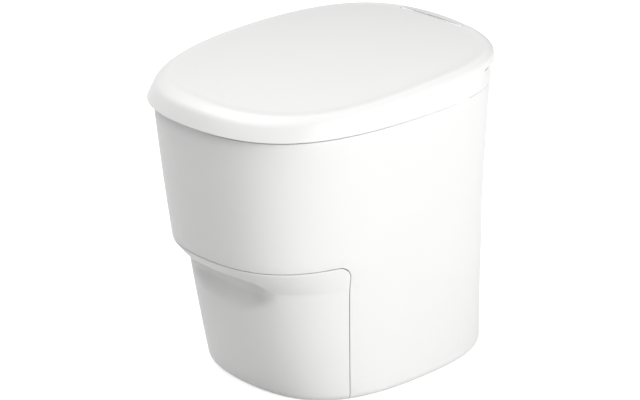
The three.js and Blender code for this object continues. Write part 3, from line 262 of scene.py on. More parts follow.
def softened(rings, reaches, steps=4):
    """Rings with the corners between them rounded: each corner starts and ends its reach away."""
    made = []
    for place, here in enumerate(rings):
        reach = reaches[place]
        if reach <= 0 or place in (0, len(rings) - 1):
            made.append(here)
            continue
        back, on = rings[place - 1] - here, rings[place + 1] - here
        far_back = np.linalg.norm(back, axis=1, keepdims=True) + 1e-9
        far_on = np.linalg.norm(on, axis=1, keepdims=True) + 1e-9
        start = here + back / far_back * np.minimum(reach, far_back * 0.48)
        end = here + on / far_on * np.minimum(reach, far_on * 0.48)
        for t in np.linspace(0, 1, steps + 1):
            made.append(start * (1 - t) ** 2 + 2 * here * t * (1 - t) + end * t * t)
    return made


def rounded(*rows, steps=4):
    """Rings given by their plan, height and the reach of their rounded corner."""
    return softened([ring(plan, height) for plan, height, _ in rows], [reach for *_, reach in rows], steps)


def select_only(obj):
    if bpy.context.object and bpy.context.object.mode != "OBJECT":
        bpy.ops.object.mode_set(mode="OBJECT")
    bpy.ops.object.select_all(action="DESELECT")
    obj.hide_set(False)
    obj.select_set(True)
    bpy.context.view_layer.objects.active = obj


def place_ring(obj, points):
    """Moves the selected ring of an object in edit mode onto its points."""
    mesh = bmesh.from_edit_mesh(obj.data)
    index = mesh.verts.layers.int["around"]
    for vert in mesh.verts:
        if vert.select:
            vert.co = points[vert[index]]
    bmesh.update_edit_mesh(obj.data)


def lofted(name, rings, close="capped"):
    """A skin through rings, extruded from a circle: capped at both ends, or joined into a tube wall."""
    bpy.ops.object.select_all(action="DESELECT")
    count, middle = len(rings[0]), rings[0].mean(axis=0)
    radius = float(np.ptp(rings[0][:, 0])) / 2 + 1e-4
    bpy.ops.mesh.primitive_circle_add(vertices=count, radius=radius, fill_type="NOTHING", location=middle)
    obj = bpy.context.object
    obj.name = obj.data.name = name
    bpy.ops.object.transform_apply(location=True, rotation=False, scale=False)
    numbers = obj.data.attributes.new("around", "INT", "POINT")
    numbers.data.foreach_set("value", list(range(count)))
    bpy.ops.object.mode_set(mode="EDIT")
    bpy.ops.mesh.select_mode(type="EDGE")
    bpy.ops.mesh.select_all(action="SELECT")
    place_ring(obj, rings[0])
    if close == "capped":
        bpy.ops.mesh.edge_face_add()
        mesh = bmesh.from_edit_mesh(obj.data)
        for face in mesh.faces:
            face.select_set(False)
        for edge in mesh.edges:
            edge.select_set(True)
        bmesh.update_edit_mesh(obj.data)
    for points in [*rings[1:], *([rings[0]] if close == "tube" else [])]:
        bpy.ops.mesh.extrude_edges_move()
        place_ring(obj, points)
    if close == "capped":
        bpy.ops.mesh.edge_face_add()
    bpy.ops.mesh.select_mode(type="VERT")
    bpy.ops.mesh.select_all(action="SELECT")
    bpy.ops.mesh.remove_doubles(threshold=1e-6)
    bpy.ops.mesh.normals_make_consistent(inside=False)
    bpy.ops.object.mode_set(mode="OBJECT")
    return obj


def prism(name, outline, span=ACROSS):
    """A side view drawn out along X between two places."""
    outline = np.array(outline, float)
    return lofted(name, [np.column_stack([np.full(len(outline), at), outline]) for at in span])


def slab(name, low, high, span=ACROSS):
    """A box between two corners of the side view, drawn out along X."""
    return prism(name, [low, (high[0], low[1]), high, (low[0], high[1])], span)


def turned(name, profile, centre, axis="Z", sides=64):
    """A round piece through circles, each given by its radius and its place along the axis."""
    turn = np.linspace(0, 2 * math.pi, sides, endpoint=False)
    rings = []
    for radius, at in profile:
        columns = [centre[0] + radius * np.cos(turn), centre[1] + radius * np.sin(turn)]
        columns.insert("XYZ".index(axis), np.full(sides, float(at)))
        rings.append(np.column_stack(columns))
    return lofted(name, rings)


def round_bar(name, radius, span, centre, axis="X", sides=48):
    return turned(name, [(radius, at) for at in span], centre, axis, sides)


def apply_modifier(obj, kind, **settings):
    select_only(obj)
    made = obj.modifiers.new(kind.title(), kind)
    for key, value in settings.items():
        setattr(made, key, value)
    bpy.ops.object.modifier_apply(modifier=made.name)


def combine(obj, tool, operation="DIFFERENCE"):
    """Cuts, joins or trims an object with a tool, which is then removed."""
    apply_modifier(obj, "BOOLEAN", object=tool, operation=operation, solver="MANIFOLD")
    bpy.data.objects.remove(tool)


def clean(obj, distance=MERGE):
    select_only(obj)
    bpy.ops.object.mode_set(mode="EDIT")
    bpy.ops.mesh.select_all(action="SELECT")
    bpy.ops.mesh.remove_doubles(threshold=distance)
    bpy.ops.mesh.dissolve_degenerate(threshold=distance)
    bpy.ops.mesh.select_all(action="DESELECT")
    bpy.ops.object.mode_set(mode="OBJECT")


def bevel_where(obj, test, width, segments=2, sharper=45):
    """Bevels the edges sharper than an angle whose middle passes a test."""
    select_only(obj)
    bpy.ops.object.mode_set(mode="EDIT")
    bpy.ops.mesh.select_mode(type="EDGE")
    bpy.ops.mesh.select_all(action="DESELECT")
    mesh = bmesh.from_edit_mesh(obj.data)
    found = 0
    for edge in mesh.edges:
        if len(edge.link_faces) != 2 or edge.calc_face_angle(0) < math.radians(sharper):
            continue
        if test((edge.verts[0].co + edge.verts[1].co) / 2):
            edge.select_set(True)
            found += 1
    bmesh.update_edit_mesh(obj.data)
    if found:
        bpy.ops.mesh.bevel(offset=width, segments=segments, profile=0.5, affect="EDGES", clamp_overlap=True)
    bpy.ops.mesh.select_all(action="DESELECT")
    bpy.ops.mesh.select_mode(type="VERT")
    bpy.ops.object.mode_set(mode="OBJECT")


def finish_piece(obj, body, slot, *nodes, angle=30):
    """Smooths a piece, gives it its slot's finish and fixes it to its body."""
    select_only(obj)
    bpy.ops.object.shade_smooth_by_angle(angle=math.radians(angle))
    if "around" in obj.data.attributes:
        obj.data.attributes.remove(obj.data.attributes["around"])
    obj.data.materials.clear()
    obj.data.materials.append(make_finishes(bpy.context.scene.toilet_colours)[slot])
    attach(obj, body)
    if nodes:
        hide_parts(*nodes)


# Finishes


def arithmetic(operation, swapped=False):
    """An operator that adds a Math node, its sides swapped where the number comes first."""

    def apply(value, other):
        first, second = (other, value) if swapped else (value, other)
        return value.nodes.node("ShaderNodeMath", {"operation": operation}, {0: first, 1: second})

    return apply


class Value:
    """A node's output that takes part in plain arithmetic."""

    def __init__(self, nodes, socket):
        self.nodes = nodes
        self.socket = socket

    __add__ = arithmetic("ADD")
    __radd__ = arithmetic("ADD", swapped=True)
    __sub__ = arithmetic("SUBTRACT")
    __rsub__ = arithmetic("SUBTRACT", swapped=True)
    __mul__ = arithmetic("MULTIPLY")
    __rmul__ = arithmetic("MULTIPLY", swapped=True)


class NodeTree:
    """The nodes of a material or a world, added one by one."""

    def __init__(self, owner):
        owner.use_nodes = True
        self.owner = owner
        self.tree = owner.node_tree
        self.tree.nodes.clear()

    @cached_property
    def place(self):
        """The object's own coordinates."""
        return self.node("ShaderNodeTexCoord", output="Object")

    def node(self, kind, settings=None, inputs=None, output=None):
        """Adds a node with its settings and socket values, and returns one of its outputs."""
        made = self.tree.nodes.new(kind)
        for key, value in (settings or {}).items():
            setattr(made, key, value)
        for key, value in (inputs or {}).items():
            if isinstance(key, int):
                socket = made.inputs[key]
            else:
                socket = next(s for s in made.inputs if s.enabled and s.name == key)
            if isinstance(value, Value):
                self.tree.links.new(value.socket, socket)
            else:
                socket.default_value = value
        shown = [s for s in made.outputs if s.enabled and output in (None, s.name)]
        return Value(self, shown[0]) if shown else None

    def stretched(self, scale):
        """Object coordinates stretched by three numbers."""
        return self.node("ShaderNodeVectorMath", {"operation": "MULTIPLY"}, {0: self.place, 1: scale})

    def noise(self, scale, detail=3.0, roughness=0.55, vector=None):
        return self.node(
            "ShaderNodeTexNoise",
            {"noise_dimensions": "3D"},
            {"Vector": vector or self.place, "Scale": scale, "Detail": detail, "Roughness": roughness},
        )

    def between(self, share, first, second):
        """A colour between two, by a value."""
        return self.node(
            "ShaderNodeMix",
            {"data_type": "RGBA", "blend_type": "MIX"},
            {"Factor": share, "A": (*first, 1.0), "B": (*second, 1.0)},
        )

    def bumped(self, height, strength, distance):
        sockets = {"Height": height, "Strength": strength, "Distance": distance}
        return self.node("ShaderNodeBump", {}, sockets, output="Normal")

    def surface(self, **sockets):
        names = {key.replace("_", " ").title(): value for key, value in sockets.items()}
        shader = self.node("ShaderNodeBsdfPrincipled", {}, names)
        self.node("ShaderNodeOutputMaterial", {}, {"Surface": shader})
        return self.owner


def new_finish(name):
    return NodeTree(bpy.data.materials.new(name))


def shaded(tone, share):
    return tuple(min(1.0, max(0.0, channel * share)) for channel in tone)


def moulding(name, tone, roughness, grain, coat=0.0, spread=0.03):
    """Moulded plastic: faint cloudiness in colour and gloss, and a fine spark-eroded grain."""
    finish = new_finish(name)
    cloud = finish.noise(9.0, 4.0)
    mottle = finish.noise(55.0, 2.0)
    fine = finish.noise(1500.0, 2.0, 0.6)
    return finish.surface(
        base_color=finish.between(cloud, shaded(tone, 1 - spread), shaded(tone, 1 + spread)),
        roughness=mottle * 0.03 + (roughness - 0.015),
        coat_weight=coat,
        coat_roughness=0.12,
        normal=finish.bumped(fine + mottle * 0.1, 0.25, grain),
    )


def brushed_metal(name, tone, roughness, stretch):
    finish = new_finish(name)
    lines = finish.noise(60.0, 3.0, 0.6, finish.stretched(stretch))
    cloud = finish.noise(14.0, 3.0)
    return finish.surface(
        base_color=finish.between(cloud, shaded(tone, 0.9), shaded(tone, 1.08)),
        metallic=1.0,
        roughness=lines * 0.22 + roughness,
        normal=finish.bumped(lines, 0.2, 0.00008),
    )


def rubbery(name, tone, roughness=0.72):
    finish = new_finish(name)
    dust = finish.noise(35.0, 4.0)
    pores = finish.noise(1200.0, 2.0)
    return finish.surface(
        base_color=finish.between(dust, shaded(tone, 0.8), shaded(tone, 1.5)),
        roughness=dust * 0.15 + (roughness - 0.08),
        normal=finish.bumped(pores, 0.4, 0.0001),
    )


def liner_film(name, tone):
    finish = new_finish(name)
    crease = finish.noise(70.0, 5.0, 0.7)
    soft = finish.noise(18.0, 3.0)
    return finish.surface(
        base_color=finish.between(soft, shaded(tone, 0.93), shaded(tone, 1.06)),
        roughness=crease * 0.2 + 0.16,
        normal=finish.bumped(crease + soft, 0.5, 0.0012),
    )


def circuit_board(name, tone):
    finish = new_finish(name)
    bricks = {"Vector": finish.place, "Scale": 60.0, "Mortar Size": 0.03}
    for socket, share in (("Color1", 0.9), ("Color2", 1.2), ("Mortar", 1.9)):
        bricks[socket] = (*shaded(tone, share), 1.0)
    cells = finish.node("ShaderNodeTexBrick", {"offset": 0.5}, bricks)
    fine = finish.noise(400.0, 2.0)
    return finish.surface(
        base_color=cells, roughness=fine * 0.1 + 0.35, normal=finish.bumped(fine, 0.2, 0.0001)
    )


def make_finishes(colours):
    """All finishes by the name of their material slot, made once."""
    made = {m["toilet_finish"]: m for m in bpy.data.materials if m.get("toilet_finish")}
    if made:
        return made
    finishes = {
        "white_plastic": moulding("white_moulding", colours.white, 0.5, 0.00003, coat=0.04, spread=0.008),
        "seat_plastic": moulding("seat_moulding", colours.seat, 0.34, 0.00002, coat=0.2, spread=0.008),
        "grey_plastic": moulding("grey_moulding", colours.grey, 0.5, 0.00008, spread=0.05),
        "dark_plastic": moulding("dark_moulding", colours.dark, 0.5, 0.00008, spread=0.12),
        "steel": brushed_metal("brushed_steel", colours.steel, 0.22, (0.4, 8.0, 8.0)),
        "rubber": rubbery("black_rubber", colours.rubber),
        "silicone": rubbery("red_silicone", colours.silicone, 0.6),
        "film": liner_film("liner_film", colours.film),
        "board": circuit_board("circuit_board", colours.board),
    }
    for slot, material in finishes.items():
        material["toilet_finish"] = slot
    return finishes


# Shapes shared by the pieces


class Shape:
    """Plans and heights worked out from the sizes."""

    def __init__(self, sizes):
        self.s = sizes
        self.half_depth = sizes.lid_depth / 2
        self.rim = sizes.rim_height
        self.lid_rim = sizes.rim_height + sizes.lid_gap
        self.step_top = sizes.seam_height - STEP_GAP
        self.crease = self.step_top - sizes.step_drop
        self.hinge_y = self.half_depth - sizes.hinge_rear
        self.hinge_z = float(self.lid_top(0.0, self.hinge_y)) - sizes.bar_radius - BAR_DEPTH
        self.hinge = (self.hinge_y, self.hinge_z)
        self.skirt_plan = Plan(sizes.lid_width / 2, -self.half_depth, self.half_depth, SKIRT_SHARES)
        self.lid_plan = self.skirt_plan.inset(*TOP_INSETS)._replace(shares=TOP_SHARES)
        self.bevel_plan = self.lid_plan.inset(*BEVEL_INSETS)
        self.seat_bottom = self.rim + sizes.seat_lift
        self.seat_top = self.seat_bottom + sizes.seat_thickness
        self.seat_plan = Plan(SEAT_HALF, -self.half_depth + SEAT_FRONT, SEAT_REAR, BOX_SHARES)
        self.console_low = self.rim + CLEARANCE
        self.console_top = self.hinge_z - CONSOLE_DROP
        self.frame_top = self.rim - CLEARANCE
        self.ledge = self.frame_top - FRAME_HEIGHT - CLEARANCE
        self.well_floor = self.frame_top - WELL_FLANGE - CASSETTE_HEIGHT
        self.bowl_top = self.well_floor - WELL_FLANGE - CLEARANCE
        self.cassette_bottom = self.well_floor + CLEARANCE
        self.cassette_top = self.cassette_bottom + CASSETTE_HEIGHT - COVER_HEIGHT - CLEARANCE
        self.cassette_plan = SEAT_HOLE.inset(-CASSETTE_WIDTH)
        self.notch_half = sizes.bar_half + NOTCH_GAP
        self.arm_span = (self.notch_half, self.notch_half + ARM_WIDTH)
        lug = self.arm_span[1] + NOTCH_GAP
        self.lug_span = (lug, lug + LUG_WIDTH)

    def wall_curve(self, z, values):
        """A value that bends through its values at the rim, the seam and the foot."""
        heights = (self.rim, self.s.seam_height, self.s.foot_fillet)
        total = 0.0
        for i, value in enumerate(values):
            share = value
            for j, height in enumerate(heights):
                if j != i:
                    share = share * (z - height) / (heights[i] - height)
            total = total + share
        return total

    def step_share(self, z):
        """How far the front is set back at a height, with a round shoulder and a soft crease."""
        share = (self.step_top - z) / self.s.step_drop
        soft_top, soft_low = 0.05, 0.10
        if share < -soft_top:
            return 0.0
        if share < soft_top:
            return (share + soft_top) ** 2 / (4 * soft_top)
        if share > 1 + soft_low:
            return 1.0
        if share > 1 - soft_low:
            return 1 - (1 + soft_low - share) ** 2 / (4 * soft_low)
        return share

    def body_plan(self, z, sharp=False):
        share = min(1.0, max(0.0, (self.step_top - z) / self.s.step_drop)) if sharp else self.step_share(z)
        return Plan(
            self.wall_curve(z, BODY_HALVES),
            -self.half_depth + self.wall_curve(z, BODY_FRONTS) + self.s.step_depth * share,
            self.half_depth - self.wall_curve(z, BODY_REARS),
            SKIRT_SHARES,
        )

    def foot_plan(self, z):
        radius = self.s.foot_fillet
        drop = min(radius, max(radius - z, 0))
        return self.body_plan(z).inset(radius - math.sqrt(radius * radius - drop * drop))

    def sole(self, inset):
        """The rings under the foot, or at an inset above it: the outer one, then the inner one."""
        floor = self.body_plan(self.s.foot_fillet).inset(self.s.foot_fillet)
        height = GROUND_GAP + inset
        return stack((floor.inset(SOLE_ROUND + inset), height), (floor.inset(SOLE_WIDTH), height))

    def lid_top(self, x, y):
        across, along = x / (self.s.lid_width / 2), y / self.half_depth
        return self.s.lid_height + self.s.lid_rise / 2 * along - self.s.lid_crown * (across**2 + along**2)

    def lowered(self, depth):
        """The height at a depth under the lid's top, by place."""
        return lambda x, y: self.lid_top(x, y) - depth

    def crowned(self, plan, depth):
        """Rings over the plan's field, from near its edge to its middle."""
        return stack(*((plan.scaled(share), self.lowered(depth)) for share in np.linspace(0.8, 0.02, 14)))

    def lid_blank(self, inset):
        """The lid's outside as a full body, a little smaller."""
        rows = [
            (self.skirt_plan.inset(inset), self.lid_rim),
            (self.bevel_plan.inset(inset), self.lowered(SHOULDER + inset)),
            (self.lid_plan.inset(inset), self.lowered(inset)),
        ]
        for share in (0.95, 0.9, 0.85, 0.8, 0.7, 0.6, 0.5, 0.4, 0.3, 0.2, 0.05):
            rows.append((self.lid_plan.scaled(share), self.lowered(inset)))
        return lofted("blank", stack(*rows))

    def door_outline(self, growth, reach=0.03):
        """Side view of the pull-out front, with its rounded upper rear corner."""
        top, side, corner = self.s.seam_height + growth, DOOR_SIDE + growth, DOOR_CORNER + growth
        far = -self.half_depth - reach
        points = [(far, -reach), (DOOR_FOOT + growth, -reach)]
        for turn in np.linspace(0, math.pi / 2, 15):
            points.append((side - corner + corner * math.cos(turn), top - corner + corner * math.sin(turn)))
        return [*points, (far, top)]

    def body_heights(self):
        """Heights of the body's rings between the foot and the rim, closer together where it turns."""
        stops = (
            (self.s.foot_fillet, 0),
            (self.crease - 0.005, 11),
            (self.crease + 0.005, 6),
            (self.step_top - 0.003, 4),
            (self.step_top + 0.003, 4),
            (self.rim - 0.0012, 13),
        )
        heights = [GROUND_GAP + (self.s.foot_fillet - GROUND_GAP) * share for share in FOOT_SHARES]
        for (low, _), (high, steps) in zip(stops, stops[1:]):
            heights += list(np.linspace(low, high, steps + 1)[1:])
        return heights


class TOILET_OT_body(bpy.types.Operator):
    """Body moulding with its set-back foot, the opening for the pull-out front and the bay's ceiling"""

    bl_idname = "toilet.body"
    bl_label = "Body"

    def execute(self, context):
        shape = Shape(context.scene.toilet_sizes)
        s = shape.s
        heights, ledge = shape.body_heights(), shape.ledge
        rim, inside = shape.body_plan(shape.rim), shape.body_plan(ledge)
        chamfer, shelf = 0.0004, s.wall + 0.009
        rings = shape.sole(0.0)[::-1]
        rings += [ring(shape.foot_plan(z), z) for z in heights]
        rings += stack(
            (rim.inset(0.0003), shape.rim - chamfer),
            (rim.inset(0.0011), shape.rim),
            (rim.inset(s.wall - chamfer), shape.rim),
            (rim.inset(s.wall), shape.rim - chamfer),
            (inside.inset(s.wall), ledge),
            (inside.inset(shelf), ledge),
            (inside.inset(shelf), ledge - s.wall),
            (inside.inset(s.wall), ledge - s.wall - 0.005),
        )
        low, high = GROUND_GAP + s.wall + CLEARANCE, ledge - 0.01
        rings += [ring(shape.foot_plan(z).inset(s.wall), z) for z in reversed(heights) if low < z < high]
        rings += shape.sole(s.wall)
        obj = lofted("body_moulding", rings, "tube")
        combine(obj, prism("opening_tool", shape.door_outline(s.seam_gap / 2)))
        hole = (shape.half_depth - INLET_DEPTH, FAR)
        combine(obj, round_bar("inlet_tool", INLET_HOLE, hole, INLET, "Y"))
        low = s.seam_height + s.seam_gap
        plan = shape.body_plan(shape.step_top, sharp=True).inset(s.wall * 0.6)
        ceiling = lofted("ceiling", stack((plan, low), (plan, low + 0.0026)))
        combine(ceiling, slab("ceiling_tool", (-0.0692, -FAR), (FAR, FAR)))
        combine(obj, ceiling, "UNION")
        clean(obj, 2e-4)
        bevel_where(obj, lambda p: p.y < -0.07 and 0.0025 < p.z < s.seam_height + 0.002, 0.0007)
        finish_piece(obj, "housing", "white_plastic", "body_shell")
        return {"FINISHED"}


class TOILET_OT_front(bpy.types.Operator):
    """Pull-out lower front with its sloped band and the finger scoop under it"""

    bl_idname = "toilet.front"
    bl_label = "Pull-out front"

    def scooped(self, shape, z, rise, depth, inset):
        """A ring of the front whose points near the middle lie higher and deeper."""
        level = ring(shape.foot_plan(z).inset(inset), z)
        reach = (SCOOP_HALF - np.abs(level[:, 0])) * (level[:, 1] < 0)
        arch, hollow = smooth(reach / SCOOP_END), smooth(reach / LIP_END)
        fall = 0.024 + 0.028 * smooth(reach / 0.08)
        hollow = hollow * (1 - smooth((shape.crease - z) / fall))
        for k in np.nonzero(arch > 0)[0]:
            height = z + rise * arch[k]
            x, y = shape.foot_plan(height).inset(inset).outline()[k]
            level[k] = (x, y + depth * hollow[k], height)
        return level

    def skin(self, shape, s, inset):
        """Rings from the foot to above the seam, at an inset from the outside."""
        heights, crease = shape.body_heights(), shape.crease
        low = [z for z in heights if z < crease - 0.053]
        low += list(np.linspace(crease - 0.052, crease - 0.012, 17))
        rings = [self.scooped(shape, z, 0.0, s.scoop_depth, inset) for z in low]
        for drop, rise, depth in (
            (-0.008, 0.35, 1.0),
            (-0.004, 0.75, 1.0),
            (-0.0014, 0.93, 1.0),
            (-0.0003, 0.985, 0.97),
            (0.0, 1.0, 0.9),
            (0.0, 1.0, 0.08),
            (0.0003, 1.0, 0.02),
            (0.0012, 1.0, 0.0),
            (0.004, 0.96, 0.0),
            (0.010, 0.8, 0.0),
            (0.020, 0.45, 0.0),
        ):
            z = crease + inset + drop
            rings.append(self.scooped(shape, z, s.scoop_rise * rise, s.scoop_depth * depth, inset))
        above = [z for z in heights if crease + 0.028 < z < s.seam_height + 0.03]
        return rings + [ring(shape.foot_plan(z).inset(inset), z) for z in above]

    def execute(self, context):
        shape = Shape(context.scene.toilet_sizes)
        s = shape.s
        floor = GROUND_GAP + s.wall + CLEARANCE
        rings = shape.sole(0.0)[::-1] + self.skin(shape, s, 0.0)
        rings += [r for r in reversed(self.skin(shape, s, s.wall)) if r[:, 2].min() > floor]
        rings += shape.sole(s.wall)
        obj = lofted("pull_front", rings, "tube")
        combine(obj, prism("front_tool", shape.door_outline(-s.seam_gap / 2)), "INTERSECT")
        clean(obj, 2e-4)
        top, side = s.seam_height - s.seam_gap / 2 - 0.0005, DOOR_SIDE - s.seam_gap / 2 - 0.03
        bevel_where(obj, lambda p: p.z > 0.003 and (p.z > top or p.y > side), 0.0009, 3)
        finish_piece(obj, "drawer", "white_plastic", "drawer_front")
        return {"FINISHED"}


class TOILET_OT_lid(bpy.types.Operator):
    """Domed lid with its bevelled edge, skirt, hinge notch and lugs, and the smooth panel inside it"""

    bl_idname = "toilet.lid"
    bl_label = "Lid"

    def under_tool(self, shape):
        """What the skirt leaves open under the lid's rear."""
        low, high = shape.lid_rim, shape.hinge_z - 0.013
        return prism("under_tool", [(0.112, -FAR), (0.112, low), (0.157, high), (FAR, high), (FAR, -FAR)])

    def panel(self, shape, s):
        """The smooth panel inside the lid, with its field set back."""
        plan, below = shape.lid_plan.inset(0.007), shape.lowered
        upper, lower = s.wall + 0.0006, s.wall + 0.0030
        field = lower - 0.0012
        rings = shape.crowned(plan, upper)[::-1]
        rings += rounded(
            (plan.scaled(0.9), below(upper), 0),
            (plan, below(upper), 0.0008),
            (plan, below(lower + 0.001), 0.002),
            (plan.inset(0.010), below(lower), 0.004),
            (plan.inset(0.016), below(field), 0.004),
            (plan.scaled(0.88), below(field), 0),
        )
        obj = lofted("lid_panel", rings + shape.crowned(plan, field))
        combine(obj, slab("panel_tool", (shape.hinge_y - 0.06, -FAR), (FAR, FAR)))
        clean(obj)
        return obj

    def execute(self, context):
        shape = Shape(context.scene.toilet_sizes)
        s = shape.s
        plan, below = shape.lid_plan, shape.lowered
        rings = shape.crowned(plan, s.wall)[::-1]
        rings += rounded(
            (plan.scaled(0.9), below(s.wall), 0),
            (plan.inset(s.wall), below(s.wall), 0.003),
            (shape.bevel_plan.inset(s.wall), below(SHOULDER + s.wall), 0.003),
            (shape.skirt_plan.inset(s.wall), shape.lid_rim, 0.0006),
            (shape.skirt_plan, shape.lid_rim, s.edge),
            (shape.bevel_plan, below(SHOULDER), 0.006),
            (plan, below(0.0), 0.004),
            (plan.inset(FIELD_INSET), below(FIELD_DEPTH), 0.003),
            (plan.scaled(0.9), below(FIELD_DEPTH), 0),
            steps=5,
        )
        obj = lofted("lid_moulding", rings + shape.crowned(plan, FIELD_DEPTH))
        combine(obj, self.under_tool(shape))
        notch, front = (-shape.notch_half, shape.notch_half), shape.hinge_y - NOTCH_FRONT
        combine(obj, slab("notch_tool", (front, -FAR), (FAR, FAR), notch))
        combine(obj, round_bar("swing_tool", s.bar_radius + SWING_GAP, notch, shape.hinge, sides=96))
        ceiling = float(shape.lid_top(shape.lug_span[1], shape.hinge_y + KNUCKLE)) - s.wall / 2
        low, high = (shape.hinge_y - KNUCKLE, shape.hinge_z), (shape.hinge_y + KNUCKLE, ceiling)
        for side in (1, -1):
            span = sorted(side * x for x in shape.lug_span)
            lug = round_bar("lug", KNUCKLE, span, shape.hinge)
            combine(lug, slab("post", low, high, span), "UNION")
            combine(lug, shape.lid_blank(s.wall / 2), "INTERSECT")
            combine(obj, lug, "UNION")
        end, room = shape.lug_span[1] + 0.0025, shape.lug_span[0]
        combine(obj, round_bar("bore_tool", PIN_BORE, (-end, end), shape.hinge))
        combine(obj, round_bar("room_tool", KNUCKLE_ROOM, (-room, room), shape.hinge))
        clean(obj, 1e-4)
        wide = shape.notch_half + 0.0005
        bevel_where(obj, lambda p: abs(p.x) < wide and p.y > front - 0.0005, 0.0008, sharper=40)
        finish_piece(obj, "lid", "white_plastic", "lid_shell")
        finish_piece(self.panel(shape, s), "lid", "white_plastic", "lid_liner")
        return {"FINISHED"}


class TOILET_OT_console(bpy.types.Operator):
    """Rear console with its ramp, the trough round the hinge, the hinge bar and the button's hole"""

    bl_idname = "toilet.console"
    bl_label = "Console"

    def bar(self, shape, s):
        """The hinge bar with its flat cap, flush with the lid, and the web that carries it."""
        y, z = shape.hinge
        span, cap = (-s.bar_half, s.bar_half), 0.0062
        bar = round_bar("bar", s.bar_radius, span, shape.hinge, sides=96)
        combine(bar, slab("cap", (y - cap, z), (y + cap, z + 0.02), span), "UNION")
        combine(bar, shape.lid_blank(0.0004), "INTERSECT")
        clean(bar)
        bevel_where(bar, lambda p: True, 0.0006, 3)
        combine(bar, slab("support", (y - 0.014, z - 0.02775), (y + 0.0035, z), span), "UNION")
        return bar

    def execute(self, context):
        shape = Shape(context.scene.toilet_sizes)
        s = shape.s
        y, z = shape.hinge
        low, bottom, top = shape.body_plan(shape.rim), shape.console_low, shape.console_top
        high = low.inset(-0.001, 0.0, 0.0)
        rings = rounded(
            (low.scaled(0.5), bottom, 0),
            (low, bottom, 0.0006),
            (high, top, 0.0025),
            (high.scaled(0.5), top, 0),
        )
        obj = lofted("console_moulding", rings)
        ramp = [(RAMP_FOOT, -FAR), (RAMP_FOOT, bottom + 0.0035), (RAMP_TOP, top), (RAMP_TOP, FAR)]
        combine(obj, prism("ramp_tool", [(-FAR, -FAR), *ramp, (-FAR, FAR)]))
        combine(obj, round_bar("sweep_tool", 0.026, ACROSS, shape.hinge, sides=96))
        combine(obj, slab("drop_tool", (y, z - 0.022), (FAR, FAR)))
        clean(obj)
        bevel_where(obj, lambda p: p.z > bottom + 0.003 and p.y < y - 0.002, 0.0012, 3, 15)
        combine(obj, self.bar(shape, s), "UNION")
        combine(obj, round_bar("bore_tool", PIN_BORE, ACROSS, shape.hinge))
        combine(obj, round_bar("hole_tool", BUTTON_HOLE, (-FAR, FAR), BUTTON, "Z", 64))
        clean(obj)

        def on_hole(p):
            away = math.hypot(p.x - BUTTON[0], p.y - BUTTON[1]) - BUTTON_HOLE
            return abs(away) < 0.0006 and p.z > top - 0.001

        bevel_where(obj, on_hole, 0.0006, sharper=40)
        finish_piece(obj, "housing", "white_plastic", "rear_console")
        return {"FINISHED"}


class TOILET_OT_seat(bpy.types.Operator):
    """Seat ring with a rolled inner edge and its two hinge arms"""

    bl_idname = "toilet.seat"
    bl_label = "Seat"

    def ring_between(self, shape):
        """A function for the seat's rings, which lie between its outline and its hole."""

        def between(share, z, outer=shape.seat_plan, hole=SEAT_HOLE):
            return ring(outer, z) * (1 - share) + ring(hole, z) * share

        return between

    def execute(self, context):
        shape = Shape(context.scene.toilet_sizes)
        low, top, mixed = shape.seat_bottom, shape.seat_top, self.ring_between(shape)
        rows = [
            (mixed(0.3, low), 0),
            (mixed(0, low), 0.0015),
            (mixed(0, top - 0.005), 0.004),
            (mixed(0, top, outer=shape.seat_plan.inset(0.006)), 0.008),
            (mixed(0.4, top + 0.003), 0.02),
            (mixed(0.75, top + 0.0022), 0.012),
            (mixed(1, top - 0.0005, hole=SEAT_HOLE.inset(-0.004)), 0.005),
            (mixed(1, top - 0.006), 0.004),
            (mixed(1, low), 0.0015),
            (mixed(0.8, low), 0),
        ]
        rings, reaches = zip(*rows)
        obj = lofted("seat_moulding", softened(rings, reaches, 5), "tube")
        deck, (y, z) = shape.console_top + 0.0015, shape.hinge
        side_view = [
            (0.102, low + 0.0015),
            (0.114, low + 0.0015),
            (RAMP_TOP, deck),
            (y, z - KNUCKLE),
            (y, z + KNUCKLE),
            (RAMP_TOP, deck + 0.012),
            (0.102, top - 0.0015),
        ]
        for side in (1, -1):
            span = sorted(side * x for x in shape.arm_span)
            arm = prism("arm", side_view, span)
            combine(arm, round_bar("knuckle", KNUCKLE, span, shape.hinge), "UNION")
            clean(arm)
            bevel_where(arm, lambda p: p.y > 0.115, 0.0016, 3, 30)
            combine(arm, round_bar("bore_tool", PIN_BORE, ACROSS, shape.hinge))
            combine(obj, arm, "UNION")
        clean(obj)
        finish_piece(obj, "seat", "seat_plastic", "seat_ring")
        return {"FINISHED"}


class TOILET_OT_buffers(bpy.types.Operator):
    """Rubber buffers under the seat and the lid, and the feet, each turned with a rounded edge"""

    bl_idname = "toilet.buffers"
    bl_label = "Buffers and feet"

    def execute(self, context):
        corners = [f"{end}_{side}" for end in ("front", "rear") for side in SIDES]
        groups = {
            "seat": [f"seat_buffer_{corner}" for corner in corners],
            "lid": [f"lid_buffer_{side}" for side in SIDES],
            "housing": [f"foot_{corner}" for corner in corners],
        }
        for body, nodes in groups.items():
            for node in nodes:
                low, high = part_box(node)
                middle = (low + high) / 2
                radius = (high.x - low.x) / 2
                edge = min(0.0016, (high.z - low.z) * 0.3)
                dish = 0.0001 if body == "housing" else edge * 0.5
                profile = [
                    (radius * 0.55, low.z + dish),
                    (radius * 0.62, low.z),
                    (radius - edge, low.z),
                    (radius - edge * 0.3, low.z + edge * 0.3),
                    (radius, low.z + edge),
                    (radius, high.z - edge * 0.4),
                    (radius - edge * 0.4, high.z),
                ]
                obj = turned(node + "_turned", profile, (middle.x, middle.y), sides=48)
                finish_piece(obj, body, "rubber", node)
        return {"FINISHED"}


